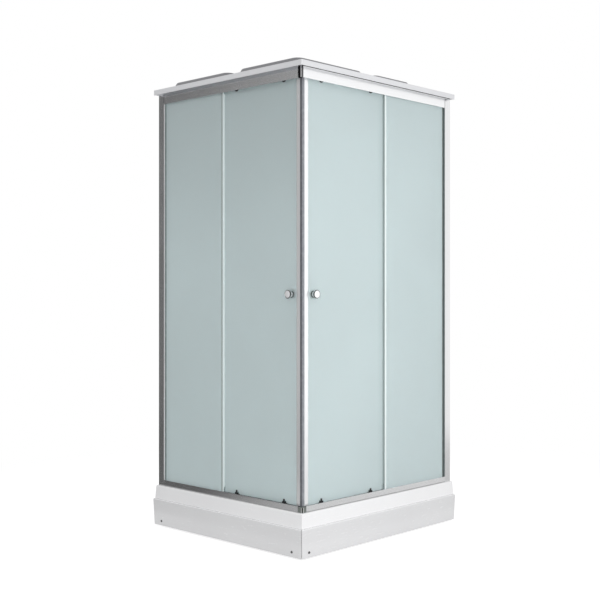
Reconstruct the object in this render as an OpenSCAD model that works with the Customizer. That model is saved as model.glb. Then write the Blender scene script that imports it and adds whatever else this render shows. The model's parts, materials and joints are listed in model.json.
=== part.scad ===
// Square corner-entry shower cabin: a tray on levelling feet, an aluminium frame with
// two fixed panes and two sliding doors that meet in the front corner, two back panels
// with the shower fittings, and a moulded roof.
// The origin is on the floor under the middle of the footprint. The front corner, where
// the doors meet, is at +X -Y. Each front wall is drawn once in its own coordinates:
// s runs along the wall from the frame's front corner, t runs inwards from the face of
// the frame, and z is the height above the floor.

/* [Overall] */
// Side of the square footprint at the widest part of the tray
tray_size = 1000; // [880:10:1200]
// Height of the tray's top edge above the floor
tray_h = 185; // [165:5:240]
// Height of the aluminium frame that stands on the tray
frame_h = 1817; // [1500:5:2000]
// Distance from the widest front edge of the tray back to the face of the frame
front_setback = 30; // [28:1:50]

/* [Tray] */
// Overhang of the tray's top edge past the face of the frame
tray_top_out = 12; // [6:1:16]
// Overhang of the upper band's lower edge past the face of the frame
band_bottom_out = 19; // [16:1:24]
// Height of the ledge between the upper band and the aprons
ledge_h = 125; // [115:1:135]
// How far an apron's face draws in from its top to its foot
apron_taper = 8; // [0:1:10]
// Gap between the foot of an apron and the floor
apron_foot_gap = 5; // [2:1:10]
// Thickness of the tray's and aprons' walls
shell_wall = 4; // [3:0.5:5]
// Thickness of the tray's rim and floor
tray_slab = 6; // [5:0.5:8]
// Width of the tray's rim behind the face of the frame
rim_w = 70; // [60:1:90]
// Depth of the bowl below the rim
bowl_depth = 105; // [90:1:110]
// How far each side of the bowl leans in from top to floor
bowl_lean = 30; // [15:1:50]
// Corner radius of the bowl
bowl_r = 100; // [60:5:130]

/* [Waste] */
// Distance of the waste hole from each rear edge of the tray
waste_inset = 250; // [200:5:320]
// Radius of the waste hole in the tray
waste_hole_r = 45; // [40:1:50]
// Radius of the waste pipe's spigot
spigot_r = 20; // [16:1:21]
// Height of the spigot's axis above the floor
spigot_z = 29; // [27:1:30]

/* [Underframe] */
// Width of the underframe's steel channels
channel_w = 25; // [20:1:35]
// Height of the underframe's steel channels
channel_h = 20; // [16:1:20]
// Distance from the tray's sides to the centre line of the outer channels
channel_inset = 48; // [46:1:56]
// Radius of the levelling rods
rod_r = 6; // [5:0.5:8]
// Radius of the rubber foot pads
pad_r = 22; // [18:1:30]
// Thickness of the rubber foot pads
pad_h = 10; // [8:1:14]

/* [Frame] */
// Width and depth of an end post
post_w = 41; // [38:1:50]
// Depth of the rails from their face to their back
rail_depth = 44; // [44:1:54]
// Height of the top rails
top_rail_h = 44; // [44:1:60]
// Height of the bottom rails
bottom_rail_h = 25; // [24:1:32]
// Wall of the aluminium profiles
profile_wall = 2; // [1.5:0.1:2.2]
// Distance from the corner to the end of the left top rail
top_rail_end_left = 24; // [22:0.5:28]
// Distance from the corner to the end of the right top rail
top_rail_end_right = 8; // [8:0.5:10]
// Distance from the corner to the end of the bottom rails
bottom_rail_end = 25; // [20:1:30]

/* [Glass] */
// Thickness of the panes and back panels
glass_thick = 5; // [4:0.5:5]
// Depth of the fixed panes behind the face of the frame
fixed_t = 8.5; // [8.5:0.5:9]
// Depth of the doors behind the face of the frame
door_t = 20; // [20:0.5:21]
// Rubber left each side of a pane in its groove
gasket_gap = 1.5; // [1:0.1:1.5]
// Depth of a pane's edge inside a post
pane_bite = 12; // [9:0.5:12]
// Distance from the rear edges to the outer face of the back panels
back_inset = 16; // [12:1:20]

/* [Doors] */
// Distance from the corner to the outer edge of a closed door's profile
door_start = 31; // [30:1:36]
// Width of the aluminium profile on a door's closing edge
closing_w = 20; // [16:1:24]
// Overlap of a closed door behind its fixed pane
door_overlap = 22; // [18:1:45]
// Room left between an open door's knob and its fixed pane
knob_room = 22; // [4:1:60]
// Distance from the corner to the axis of a knob
knob_s = 82; // [70:1:95]
// Height of the knobs above the floor
knob_z = 1075; // [900:5:1200]
// Radius of the knobs' discs
knob_r = 18; // [14:1:22]
// How far a knob's disc stands out of the door
knob_out = 27; // [22:1:34]
// Distance from the closing edge of a door's glass to its front rollers
front_roller_inset = 92; // [70:1:120]
// Distance from the other edge of a door's glass to its rear rollers
rear_roller_inset = 103; // [70:1:120]
// Radius of the top wheels
top_wheel_r = 11; // [9:0.5:12]
// Radius of the bottom guide wheels
guide_wheel_r = 5; // [4:0.25:5]
// Radius of the round caps of the top hangers
cap_r = 12.5; // [11:0.5:12.5]
// Distance that a guide's button goes down to free the door
release_drop = 3; // [2:0.5:3]

/* [Roof] */
// Overhang of the roof's rim past the face of the frame
roof_out = 28; // [20:1:30]
// Height of the roof's rim
roof_rim_h = 21; // [16:1:40]
// Height of the raised pads above the rim
roof_pad_h = 26; // [10:1:40]
// Thickness of the roof's moulding
roof_wall = 3; // [2:0.5:5]
// How far the roof's front lip hangs below the top of the frame
roof_lip = 2; // [1:0.5:6]
// Width of the rim's hollow edge that lies on the frame
roof_edge_w = 75; // [72:1:110]
// Distance from the left front edge of the roof to the pads
pad_inset_left = 26; // [20:1:90]
// Distance from the right front edge of the roof to the pads
pad_inset_right = 50; // [30:1:160]
// Width of the valleys between the pads
roof_valley_w = 48; // [40:1:90]

/* [Fittings] */
// Height of the mixer bar above the floor
mixer_z = 1100; // [900:10:1250]
// Distance between the two water inlets
inlet_pitch = 150; // [140:1:180]
// Radius of the inlet threads
inlet_r = 10.48; // [9:0.01:13]
// Radius of the mixer bar
mixer_r = 19; // [16:1:24]
// Distance from the back panel to the axis of the mixer and the riser
mixer_reach = 50; // [42:1:60]
// Radius of the riser pipe
riser_r = 10; // [8:0.5:12]
// Distance from the top of the frame down to the overhead shower's face
head_below = 174; // [120:2:300]
// Radius of the overhead shower's disc
head_r = 100; // [60:5:120]
// Distance from the back panel to the middle of the overhead shower
head_reach = 300; // [230:5:400]

/* [Hidden] */
$fn = 64;

// Clearances
gap = 0.3;
bore_gap = 0.05;
eps = 0.01;
far = 3 * tray_size;

// Main planes
half = tray_size / 2;
face = half - front_setback;
wall_len = face + half;
frame_top = tray_h + frame_h;
roof_rim_top = frame_top + roof_rim_h;

// Posts and panes along a wall
post_s = wall_len - post_w;
back_s = wall_len - back_inset - glass_thick;
slot_w = glass_thick + 2 * gasket_gap;
pane_far_s = post_s + pane_bite - 1;
gasket_show = 9;
seal_w = 10;
rib_t0 = fixed_t - gasket_gap - profile_wall;
rib_t1 = fixed_t + glass_thick + gasket_gap;

// Doors along a wall: half of the free length is travel, half is glass
closing_glass_in = 5;
seal_lip = 4;
open_gap = 3;
door_travel = (post_s - open_gap - seal_lip - door_overlap - knob_s - knob_r - knob_room) / 2;
pane_edge_s = knob_s + knob_r + door_travel + knob_room;
door_s0 = door_start + closing_glass_in;
door_s1 = pane_edge_s + door_overlap;
roller_s = [door_s0 + front_roller_inset, door_s1 - rear_roller_inset];
front = 0;
rear = 1;

// Top track
track_t = door_t + 11;
track_thick = 3;
track_top = frame_top - top_rail_h + 13;
top_axle_z = track_top + top_wheel_r + gap;
top_axle_r = 2.5;
top_wheel_w = 7;
bead_t = track_t + 2.5;
bead_w = 2;
bead_h = 1.5;
top_rib_h = 20;
cap_z = frame_top - top_rail_h + 11;
cap_thick = 4;
hanger_thick = 4;
hanger_w = 22;
bolt_r = 4;
bolt_hole_r = 5.5;

// Bottom track and guides
door_z0 = tray_h + 22;
door_z1 = cap_z + 13.5;
lip_z = tray_h + 16.3;
lip_thick = 1.7;
hook_drop = 2.8;
hook_w = 1.5;
guide_axle_z = lip_z - gap - guide_wheel_r;
guide_axle_r = 2;
guide_wheel_t = track_t + 2.5;
guide_wheel_w = 6;
bottom_rib_h = 11;
housing_thick = 4.5;
housing_w = [19, 9];
plate_h = 24;
plate_screw_in = 8;
plate_screw_r = 3;
peg_w = 8;
foot_thick = 4;
housing_top_z = door_z0 + 12;
peg_top_z = housing_top_z + release_drop + 2;

// Bowl of the tray
bowl_x = [-half + rim_w, face - rim_w];
bowl_floor_z = tray_h - bowl_depth;
waste_x = -half + waste_inset;
waste_y = half - waste_inset;

// Feet and underframe
channel_top = bowl_floor_z - tray_slab;
ring_at = half - channel_inset;
foot_xy = [[ring_at, ring_at], [ring_at, -ring_at], [-ring_at, ring_at], [-ring_at, -ring_at], [0, 0]];
bracket_w = 30;
bracket_thick = 2.5;
screw_z = 26;
screw_corner_left = 36;
screw_corner_right = 18;
screw_far_in = 55;
screw_far = wall_len - screw_far_in;

// Fittings
panel_x = -half + back_inset + glass_thick;
fit_x = panel_x + mixer_reach;
fit_y = 80;
rose_r = 32;
rose_thick = 6;
union_r = 15;
bar_half = inlet_pitch / 2 + union_r + 3;
handle_len = 45;
handle_r = mixer_r + 2;
spindle_r = 6;
riser_bend = 60;
riser_bracket_below = 130;
arm_bend = 30;
ball_r = 11;
head_z = frame_top - head_below;
ball_z = head_z + 24;
head_x = panel_x + head_reach;
arm_z = ball_z + ball_r + 7 + arm_bend;

// Colours
white_acrylic = [0.93, 0.94, 0.94];
silver = [0.78, 0.80, 0.81];
frosted = [0.72, 0.80, 0.80, 0.7];
black = [0.08, 0.08, 0.08];
seal_white = [0.86, 0.89, 0.89];
chrome_grey = [0.85, 0.86, 0.88];
steel = [0.55, 0.57, 0.60];

// Placing of a wall's own coordinates in the cabin
module on_left() {
    translate([face, -face, 0]) mirror([1, 0, 0]) children();
}

module on_right() {
    translate([face, -face, 0]) rotate([0, 0, 90]) children();
}

// A section in t and z, run along the wall
module along_wall(s0, s1) {
    translate([s0, 0, 0]) rotate([90, 0, 90]) linear_extrude(s1 - s0) children();
}

// A section in s and t, run upwards
module upright(z0, z1) {
    translate([0, 0, z0]) linear_extrude(z1 - z0) children();
}

// A cylinder through the wall, from depth t0 to t1
module through_wall(s, z, r, t0, t1) {
    translate([s, t1, z]) rotate([90, 0, 0]) cylinder(r = r, h = t1 - t0);
}

// Everything past the diagonal of the corner, to be cut away
module past_mitre(cut) {
    translate([cut, 0, -1]) rotate([0, 0, 45]) translate([-far, 0, 0]) cube([2 * far, far, far]);
}

// A square block whose two front sides lean, given as overhangs past the frame
module leaning_block(top_out, bottom_out, back, z0, z1) {
    lo = face + bottom_out;
    hi = face + top_out;
    r = -half + back;
    intersection() {
        translate([0, far / 2, 0]) rotate([90, 0, 0]) linear_extrude(far)
            polygon([[r, z0], [lo, z0], [hi, z1], [r, z1]]);
        translate([-far / 2, 0, 0]) rotate([90, 0, 90]) linear_extrude(far)
            polygon([[-lo, z0], [-r, z0], [-r, z1], [-hi, z1]]);
    }
}

// The bowl's form, let out by grow on its sides and lowered by drop
module bowl_form(grow, drop) {
    r = bowl_r + grow;
    low_r = bowl_r - bowl_lean + grow;
    c = [bowl_x[0] + bowl_r, bowl_x[1] - bowl_r];
    hull() for (x = c, y = -c) {
        translate([x, y, tray_h - tray_slab / 2]) cylinder(r = r, h = tray_slab, $fn = 32);
        translate([x, y, bowl_floor_z - drop]) cylinder(r = low_r, h = eps, $fn = 32);
    }
}

module tray_basin() {
    color(white_acrylic) difference() {
        union() {
            difference() {
                leaning_block(tray_top_out, band_bottom_out, 0, ledge_h, tray_h);
                translate([0, 0, -tray_slab]) leaning_block(tray_top_out - shell_wall,
                    band_bottom_out - shell_wall, shell_wall, ledge_h, tray_h);
            }
            intersection() {
                bowl_form(tray_slab, tray_slab);
                translate([-half, -half, 0]) cube([tray_size, tray_size, tray_h - tray_slab / 2]);
            }
            translate([waste_x, waste_y, bowl_floor_z - 10]) cylinder(r = waste_hole_r + 17, h = 10);
        }
        bowl_form(0, 0);
        translate([waste_x, waste_y, bowl_floor_z - 4]) cylinder(r = waste_hole_r + 12, h = 10);
        translate([waste_x, waste_y, 0]) cylinder(r = waste_hole_r, h = tray_h);
    }
}

// Overhang of an apron's face at a height
function apron_out(z) = front_setback - apron_taper * (ledge_h - z) / (ledge_h - apron_foot_gap);

module apron(screws) {
    foot = apron_out(apron_foot_gap);
    head_seat = 1;
    difference() {
        along_wall(-front_setback, wall_len) polygon([
            [-foot, apron_foot_gap], [shell_wall - foot, apron_foot_gap],
            [shell_wall - front_setback, ledge_h - shell_wall],
            [-band_bottom_out + 2 * shell_wall, ledge_h - shell_wall],
            [-band_bottom_out + 2 * shell_wall, ledge_h], [-front_setback, ledge_h]]);
        past_mitre(gap);
        for (s = screws) {
            through_wall(s, screw_z, 2.8, -front_setback - 1, 0);
            through_wall(s, screw_z, 5.4, -front_setback - 1, head_seat - apron_out(screw_z));
        }
    }
}

module apron_screw(s) {
    seat = 1 - apron_out(screw_z);
    through_wall(s, screw_z, 5, seat - 3, seat);
    through_wall(s, screw_z, 2.5, seat - eps, seat + 12);
}

module apron_screws() {
    color(black) {
        on_left() for (s = [screw_corner_left, screw_far]) apron_screw(s);
        on_right() apron_screw(screw_corner_right);
    }
}

// Ring and cross of the underframe, w wide
module channel_grid(w, z0, z1) {
    side = 2 * ring_at + w;
    for (k = [-1, 0, 1]) {
        translate([-side / 2, k * ring_at - w / 2, z0]) cube([side, w, z1 - z0]);
        translate([k * ring_at - w / 2, -side / 2, z0]) cube([w, side, z1 - z0]);
    }
}

module apron_bracket(s) {
    out = apron_out(screw_z - 11) - shell_wall - gap;
    z1 = channel_top - channel_h + bracket_thick;
    difference() {
        translate([s - bracket_w / 2, 0, 0]) union() {
            translate([0, -out, screw_z - 11]) cube([bracket_w, bracket_thick, z1 - screw_z + 11]);
            translate([0, -out, z1 - bracket_thick])
                cube([bracket_w, out + channel_inset - front_setback - channel_w / 2 + 1, bracket_thick]);
        }
        through_wall(s, screw_z, 2.55, -front_setback, 0);
    }
}

module tray_frame() {
    wall = 2;
    post = 20;
    color(steel) {
        difference() {
            channel_grid(channel_w, channel_top - channel_h, channel_top);
            channel_grid(channel_w - 2 * wall, 0, channel_top - wall);
            for (p = foot_xy) translate([p[0], p[1], 0]) cylinder(r = rod_r + gap, h = tray_h);
        }
        for (x = [-1, 1], y = [-1, 1]) translate([x * ring_at - post / 2, y * ring_at - post / 2, 0])
            translate([0, 0, channel_top - 1]) cube([post, post, tray_h - tray_slab - channel_top + 1]);
        on_left() for (s = [screw_corner_left, screw_far]) apron_bracket(s);
        on_right() apron_bracket(screw_corner_right);
    }
}

module hex_nut(z, h) {
    translate([0, 0, z]) difference() {
        cylinder(r = rod_r * 1.7, h = h, $fn = 6);
        translate([0, 0, -1]) cylinder(r = rod_r + bore_gap, h = h + 2);
    }
}

module levelling_rods() {
    under = channel_top - 2;
    color(steel) for (p = foot_xy) translate([p[0], p[1], 0]) {
        translate([0, 0, pad_h - 6]) cylinder(r = rod_r, h = under - 0.5 - pad_h + 6);
        hex_nut(under - 10, 10);
        hex_nut(pad_h + gap, 8);
    }
}

module foot_pads() {
    color(black) for (p = foot_xy) translate([p[0], p[1], 0]) difference() {
        union() {
            cylinder(r = pad_r, h = pad_h / 2);
            cylinder(r = pad_r - 5, h = pad_h);
        }
        translate([0, 0, pad_h - 6]) cylinder(r = rod_r + bore_gap, h = pad_h);
    }
}

module waste_trap() {
    seat_z = bowl_floor_z - 4;
    cup_z = spigot_z - spigot_r - 4;
    cup_r = waste_hole_r + 7;
    cup_h = bowl_floor_z - 10 - cup_z;
    tube_low = 30;
    spigot_len = 60;
    pipe_r = spigot_r + 2.5;
    bore_r = spigot_r - 2.5;
    module level_tube(from, to, r) {
        translate([from, waste_y, spigot_z]) rotate([0, 90, 0]) cylinder(r = r, h = to - from);
    }
    color([0.9, 0.9, 0.88]) difference() {
        union() {
            translate([waste_x, waste_y, seat_z]) cylinder(r = waste_hole_r + 10, h = 2.5);
            translate([waste_x, waste_y, cup_z + tube_low])
                cylinder(r = waste_hole_r - 0.5, h = seat_z - cup_z - tube_low + 1);
            translate([waste_x, waste_y, cup_z]) cylinder(r = cup_r, h = cup_h);
            level_tube(-half + 5, waste_x, spigot_r);
            level_tube(-half + 5 + spigot_len, waste_x, pipe_r);
        }
        translate([waste_x, waste_y, cup_z + 4]) cylinder(r = cup_r - 4, h = cup_h - 8);
        translate([waste_x, waste_y, cup_z + 4]) cylinder(r = waste_hole_r - 3, h = tray_h);
        level_tube(-half, waste_x, bore_r);
    }
}

module waste_grille() {
    plate_z = bowl_floor_z - 1.5 + gap;
    slots = 8;
    color(chrome_grey) translate([waste_x, waste_y, 0]) difference() {
        union() {
            translate([0, 0, plate_z]) cylinder(r = waste_hole_r + 9, h = 4);
            translate([0, 0, plate_z - 9]) cylinder(r = waste_hole_r - 3.5, h = 10);
        }
        translate([0, 0, plate_z - 10]) cylinder(r = waste_hole_r - 5.5, h = 10);
        for (k = [0 : slots - 1]) rotate([0, 0, k * 360 / slots]) translate([14, -3, plate_z - 1])
            cube([waste_hole_r - 22, 6, 10]);
    }
}

module end_post_section() {
    w = profile_wall;
    pocket_t = fixed_t - gasket_gap;
    pocket_s = back_s - gasket_gap;
    bite = pane_bite + 1;
    module outline(inset) {
        r = 3;
        translate([post_s + inset, inset]) square([post_w - 2 * inset - r, post_w - 2 * inset]);
        translate([post_s + inset, inset + r]) square([post_w - 2 * inset, post_w - 2 * inset - r]);
        translate([wall_len - inset - r, inset + r]) circle(r = r);
    }
    difference() {
        outline(0);
        difference() {
            outline(w);
            translate([post_s, pocket_t - w]) square([bite + w, slot_w + 2 * w]);
            translate([pocket_s - w, post_w - bite - w]) square([slot_w + 2 * w, bite + w]);
        }
        translate([post_s - 1, pocket_t]) square([bite + 1, slot_w]);
        translate([pocket_s, post_w - bite]) square([slot_w, bite + 1]);
    }
}

module end_post() {
    color(silver) upright(tray_h, frame_top) end_post_section();
}

module rear_corner_profile() {
    w = profile_wall;
    bite = pane_bite + 1;
    corner = wall_len - post_w;
    pocket = back_s - gasket_gap;
    color(silver) on_left() upright(tray_h, frame_top) difference() {
        translate([corner, corner]) square(post_w);
        difference() {
            translate([corner + w, corner + w]) square(post_w - 2 * w);
            translate([pocket - w, corner]) square([slot_w + 2 * w, bite + w]);
            translate([corner, pocket - w]) square([bite + w, slot_w + 2 * w]);
        }
        translate([pocket, corner - 1]) square([slot_w, bite + 1]);
        translate([corner - 1, pocket]) square([bite + 1, slot_w]);
    }
}

module back_panel() {
    t0 = post_w - pane_bite;
    translate([back_s, t0, tray_h + gap])
        cube([glass_thick, post_s + pane_bite - t0, frame_h - 2 * gap]);
}

module back_panel_left() {
    color(white_acrylic) difference() {
        on_left() back_panel();
        for (k = [-1, 1]) translate([-half, fit_y + k * inlet_pitch / 2, mixer_z]) rotate([0, 90, 0])
            cylinder(r = inlet_r + 1.5, h = post_w);
    }
}

module back_panel_right() {
    color(white_acrylic) on_right() back_panel();
}

module top_rail(end) {
    w = profile_wall;
    z0 = frame_top - top_rail_h;
    color(silver) difference() {
        along_wall(end, post_s) union() {
            translate([0, z0]) square([w, top_rail_h]);
            translate([0, frame_top - w]) square([rail_depth, w]);
            translate([rail_depth - w, track_top - track_thick])
                square([w, frame_top - track_top + track_thick]);
            for (t = [rib_t0, rib_t1]) translate([t, frame_top - top_rib_h]) square([w, top_rib_h]);
            translate([track_t, track_top - track_thick]) square([rail_depth - track_t, track_thick]);
            translate([bead_t, track_top - 1]) square([bead_w, bead_h + 1]);
        }
        past_mitre(gap);
    }
}

module bottom_rail() {
    w = profile_wall;
    color(silver) difference() {
        along_wall(bottom_rail_end, post_s) union() {
            translate([0, tray_h]) square([w, bottom_rail_h]);
            translate([0, tray_h]) square([rail_depth, w]);
            for (t = [rib_t0, rib_t1]) translate([t, tray_h]) square([w, w + bottom_rib_h]);
            translate([rail_depth - w, tray_h]) square([w, lip_z + lip_thick - tray_h]);
            translate([track_t, lip_z]) square([rail_depth - track_t, lip_thick]);
            translate([track_t, lip_z - hook_drop]) square([hook_w, hook_drop + lip_thick]);
        }
        past_mitre(gap);
    }
}

module top_corner_joint() {
    left = top_rail_end_left - gap;
    right = top_rail_end_right - gap;
    rib = [9.5, 1.5];
    stem = [3, 7];
    deep = 5.5;
    back = 14.7;
    mitre = 2 * gap;
    tongue = 25;
    channel_t = rib_t0 + profile_wall + gap;
    channel_z = frame_top - top_rib_h + 1;
    channel = [slot_w - 2 * gap, top_rib_h - profile_wall - 1 - gap];
    color([0.16, 0.16, 0.17]) on_left() {
        upright(frame_top - top_rail_h, frame_top) polygon([[0, 0], [rib[0], 0], rib, [stem[1], rib[1]],
            [stem[1], deep], [left, deep], [left, back], [back + mitre, back], [right + mitre, right],
            [deep, right], [deep, deep], [stem[0], deep], [stem[0], rib[1]], [0, rib[1]]]);
        translate([left - 1, channel_t, channel_z]) cube([tongue, channel[0], channel[1]]);
        translate([channel_t, right - 1, channel_z]) cube([channel[0], tongue, channel[1]]);
    }
}

module bottom_corner_joint() {
    e = bottom_rail_end - gap;
    block = 8;
    deep = 14;
    notch = 4;
    tongue = 20;
    color([0.62, 0.66, 0.64]) on_left() {
        upright(tray_h + eps, tray_h + bottom_rail_h - 3) union() {
            translate([notch, notch]) square(deep - notch);
            translate([block, 0.5]) square([e - block, deep - 0.5]);
            translate([0.5, block]) square([deep - 0.5, e - block]);
        }
        for (turn = [0, 1]) mirror([turn, -turn, 0])
            translate([e - 1, rib_t0 + profile_wall + gap, tray_h + profile_wall + gap])
                cube([tongue, slot_w - 2 * gap, bottom_rib_h - 1]);
    }
}

module fixed_glass() {
    color(frosted) translate([pane_edge_s + 3, fixed_t, tray_h + 5])
        cube([pane_far_s - pane_edge_s - 3, glass_thick, frame_h - 5 - 7]);
}

// Strip that caps the fixed pane's free edge, with a lip that wipes the door
module fixed_glass_seal() {
    wall = 1.2;
    fit = 0.1;
    t0 = fixed_t - fit - wall;
    lip_tip = door_t - gap;
    z_under = frame_top - top_rib_h - gap;
    color(seal_white) difference() {
        union() {
            upright(tray_h + 5, z_under) translate([pane_edge_s, t0])
                square([seal_w, glass_thick + 2 * (fit + wall)]);
            upright(peg_top_z + 2, cap_z - cap_r - 2) translate([pane_edge_s, t0 + glass_thick])
                square([wall, lip_tip - t0 - glass_thick]);
        }
        upright(0, far) translate([pane_edge_s + 3 - fit, fixed_t - fit])
            square([seal_w, glass_thick + 2 * fit]);
    }
}

module glass_gasket() {
    wall = gasket_gap - 0.2;
    fit = 0.1;
    t0 = fixed_t - fit - wall;
    deep = glass_thick + 2 * (fit + wall);
    z_low = tray_h + profile_wall + gap;
    z_high = frame_top - profile_wall - gap;
    s_low = pane_edge_s + seal_w + 2;
    edge = 12;
    color(black) difference() {
        union() {
            translate([post_s - gasket_show, t0, tray_h + 5]) cube([pane_far_s - post_s + gasket_show + 0.8,
                deep, frame_h - 12]);
            translate([s_low, t0, z_low]) cube([post_s - s_low - eps, deep, bottom_rib_h - gap]);
            translate([s_low, t0, z_high - edge]) cube([post_s - s_low - eps, deep, edge]);
        }
        translate([pane_edge_s, fixed_t - fit, tray_h + 5 - fit])
            cube([pane_far_s + fit - pane_edge_s, glass_thick + 2 * fit, frame_h - 12 + 2 * fit]);
    }
}

module glass_clips() {
    h = 22;
    arm = 18;
    first = 76;
    count = 4;
    step = (frame_h - 2 * first - 28) / (count - 1);
    t0 = fixed_t + glass_thick + gasket_gap + gap;
    color(black) for (k = [0 : count - 1]) {
        z = tray_h + first + k * step;
        translate([post_s - arm, t0, z - h / 2]) cube([arm - eps, 2.4, h]);
        translate([post_s - arm, fixed_t + glass_thick + gap / 3, z - h / 2])
            cube([arm - gasket_show - 1, t0 - fixed_t - glass_thick, h]);
    }
}

module door_glass() {
    color(frosted) difference() {
        translate([door_s0, door_t, door_z0]) cube([door_s1 - door_s0, glass_thick, door_z1 - door_z0]);
        for (s = roller_s) {
            through_wall(s, cap_z, bolt_hole_r, 0, rail_depth);
            through_wall(s - plate_screw_in, door_z0 + 7, plate_screw_r + 0.5, 0, rail_depth);
        }
        through_wall(knob_s, knob_z, 6, 0, rail_depth);
    }
}

module closing_profile() {
    wall = 2;
    fit = 0.2;
    t0 = door_t - wall - 0.5;
    deep = glass_thick + 2 * wall + 1;
    color(silver) upright(door_z0, door_z1 - 6) difference() {
        translate([door_start, t0]) square([closing_w, deep]);
        translate([door_s0 - fit, door_t - fit]) square([closing_w, glass_thick + 2 * fit]);
        translate([door_start - 1, t0 + wall]) square([3, deep - 2 * wall]);
    }
}

module magnet_seal() {
    t0 = door_t - 1.5;
    t1 = door_t + glass_thick + 1.5;
    tongue_t = door_t - 0.5 + gap;
    color([0.5, 0.52, 0.52]) upright(door_z0 + 0.5, door_z1 - 6.5) union() {
        polygon([[t0 + gap, t0], [t1 + gap, t1], [door_start - eps, t1], [door_start - eps, t0]]);
        translate([door_start - 1, tongue_t]) square([2.5, glass_thick + 1 - 2 * gap]);
    }
}

module overlap_seal() {
    wall = 1.2;
    fit = 0.1;
    grip = 12;
    color(seal_white) upright(door_z0 + 1, door_z1 - 1) difference() {
        translate([door_s1 - grip, door_t - fit - wall])
            square([grip + seal_lip, glass_thick + 2 * (fit + wall)]);
        translate([door_s1 - grip - 1, door_t - fit]) square([grip + 1 + fit, glass_thick + 2 * fit]);
    }
}

module door_knob() {
    disc = 6;
    neck_r = 12;
    stem_r = 5.5;
    collar_r = 13.5;
    inside = door_t + glass_thick;
    inner = min(knob_out, knob_s - knob_r - inside - 4);
    color(chrome_grey) {
        through_wall(knob_s, knob_z, knob_r, door_t - knob_out, door_t - knob_out + disc);
        through_wall(knob_s, knob_z, neck_r, door_t - knob_out + disc - eps, door_t - gap / 3);
        through_wall(knob_s, knob_z, collar_r, door_t - 3, door_t - gap / 3);
        through_wall(knob_s, knob_z, stem_r, door_t - 1, inside + 1);
        through_wall(knob_s, knob_z, collar_r, inside + gap / 3, inside + 3);
        through_wall(knob_s, knob_z, neck_r, inside + gap / 3, inside + inner - disc + eps);
        through_wall(knob_s, knob_z, knob_r, inside + inner - disc, inside + inner);
    }
}

// Two hangers a door: a round cap with its bolt outside, a bracket with the axle inside
module top_hangers() {
    inside = door_t + glass_thick;
    color(black) for (s = roller_s) {
        through_wall(s, cap_z, cap_r, door_t - cap_thick, door_t - gap / 3);
        through_wall(s, cap_z, bolt_r, door_t - 1, inside + hanger_thick);
        difference() {
            translate([s - hanger_w / 2, inside + gap / 3, cap_z - 12])
                cube([hanger_w, hanger_thick - gap / 3, top_axle_z - cap_z + 20]);
            through_wall(s, cap_z, bolt_r + bore_gap, 0, rail_depth);
        }
        through_wall(s, top_axle_z, top_axle_r, inside + hanger_thick - eps, track_t + top_wheel_w + gap);
        through_wall(s, top_axle_z, top_axle_r + 2, inside + hanger_thick - eps, track_t - gap);
        through_wall(s, top_axle_z, top_axle_r + 2, track_t + top_wheel_w + gap,
            track_t + top_wheel_w + 1.5);
    }
}

module top_wheel(which) {
    groove = [bead_t - 0.5, bead_t + bead_w + 0.5];
    root_r = top_wheel_r - bead_h - 0.4;
    color([0.2, 0.2, 0.2]) difference() {
        union() {
            through_wall(roller_s[which], top_axle_z, top_wheel_r, track_t, groove[0]);
            through_wall(roller_s[which], top_axle_z, root_r, track_t, track_t + top_wheel_w);
            through_wall(roller_s[which], top_axle_z, top_wheel_r, groove[1], track_t + top_wheel_w);
        }
        through_wall(roller_s[which], top_axle_z, top_axle_r + bore_gap, 0, rail_depth);
    }
}

// Black wedge outside the foot of the door, with a clamp plate and its screw inside
module guide_housings() {
    z0 = door_z0 - 4;
    inside = door_t + glass_thick;
    t0 = door_t - housing_thick;
    plate_thick = 3;
    color(black) for (s = roller_s) {
        difference() {
            translate([s, door_t - gap / 3, 0]) rotate([90, 0, 0]) linear_extrude(housing_thick - gap / 3)
                polygon([[-housing_w[0], z0], [housing_w[1], z0], [housing_w[1], housing_top_z],
                    [-peg_w / 2, housing_top_z - 1], [-housing_w[0], z0 + 5]]);
            translate([s - peg_w / 2 - gap, t0 + 1, z0 - 1])
                cube([peg_w + 2 * gap, housing_thick, housing_top_z - z0 + 2]);
        }
        through_wall(s - plate_screw_in, door_z0 + 7, plate_screw_r, door_t - 1, inside + plate_thick);
        difference() {
            translate([s - housing_w[0], inside + gap / 3, door_z0 + gap])
                cube([housing_w[0] + housing_w[1], plate_thick - gap / 3, plate_h]);
            through_wall(s - plate_screw_in, door_z0 + 7, plate_screw_r + bore_gap, 0, rail_depth);
        }
    }
}

// Sprung button: the peg outside, a foot under the glass and the guide wheel's stub axle
module guide_button(which) {
    s = roller_s[which];
    w = peg_w;
    t0 = door_t - housing_thick + 1 + gap;
    plate_t = door_t + glass_thick + 3.5;
    foot_top = door_z0 - gap;
    color(black) {
        translate([s - w / 2, t0, foot_top - foot_thick])
            cube([w, door_t - 2 * gap - t0, peg_top_z - foot_top + foot_thick]);
        translate([s - w / 2, t0, foot_top - foot_thick]) cube([w, plate_t + 2 - t0, foot_thick]);
        translate([s - w / 2, plate_t, guide_axle_z - guide_axle_r])
            cube([w, 2, foot_top - guide_axle_z + guide_axle_r]);
        through_wall(s, guide_axle_z, guide_axle_r, plate_t, guide_wheel_t + guide_wheel_w + 1);
    }
}

module guide_wheel(which) {
    color([0.85, 0.85, 0.85]) difference() {
        through_wall(roller_s[which], guide_axle_z, guide_wheel_r, guide_wheel_t,
            guide_wheel_t + guide_wheel_w);
        through_wall(roller_s[which], guide_axle_z, guide_axle_r + bore_gap, 0, 2 * rail_depth);
    }
}

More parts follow.
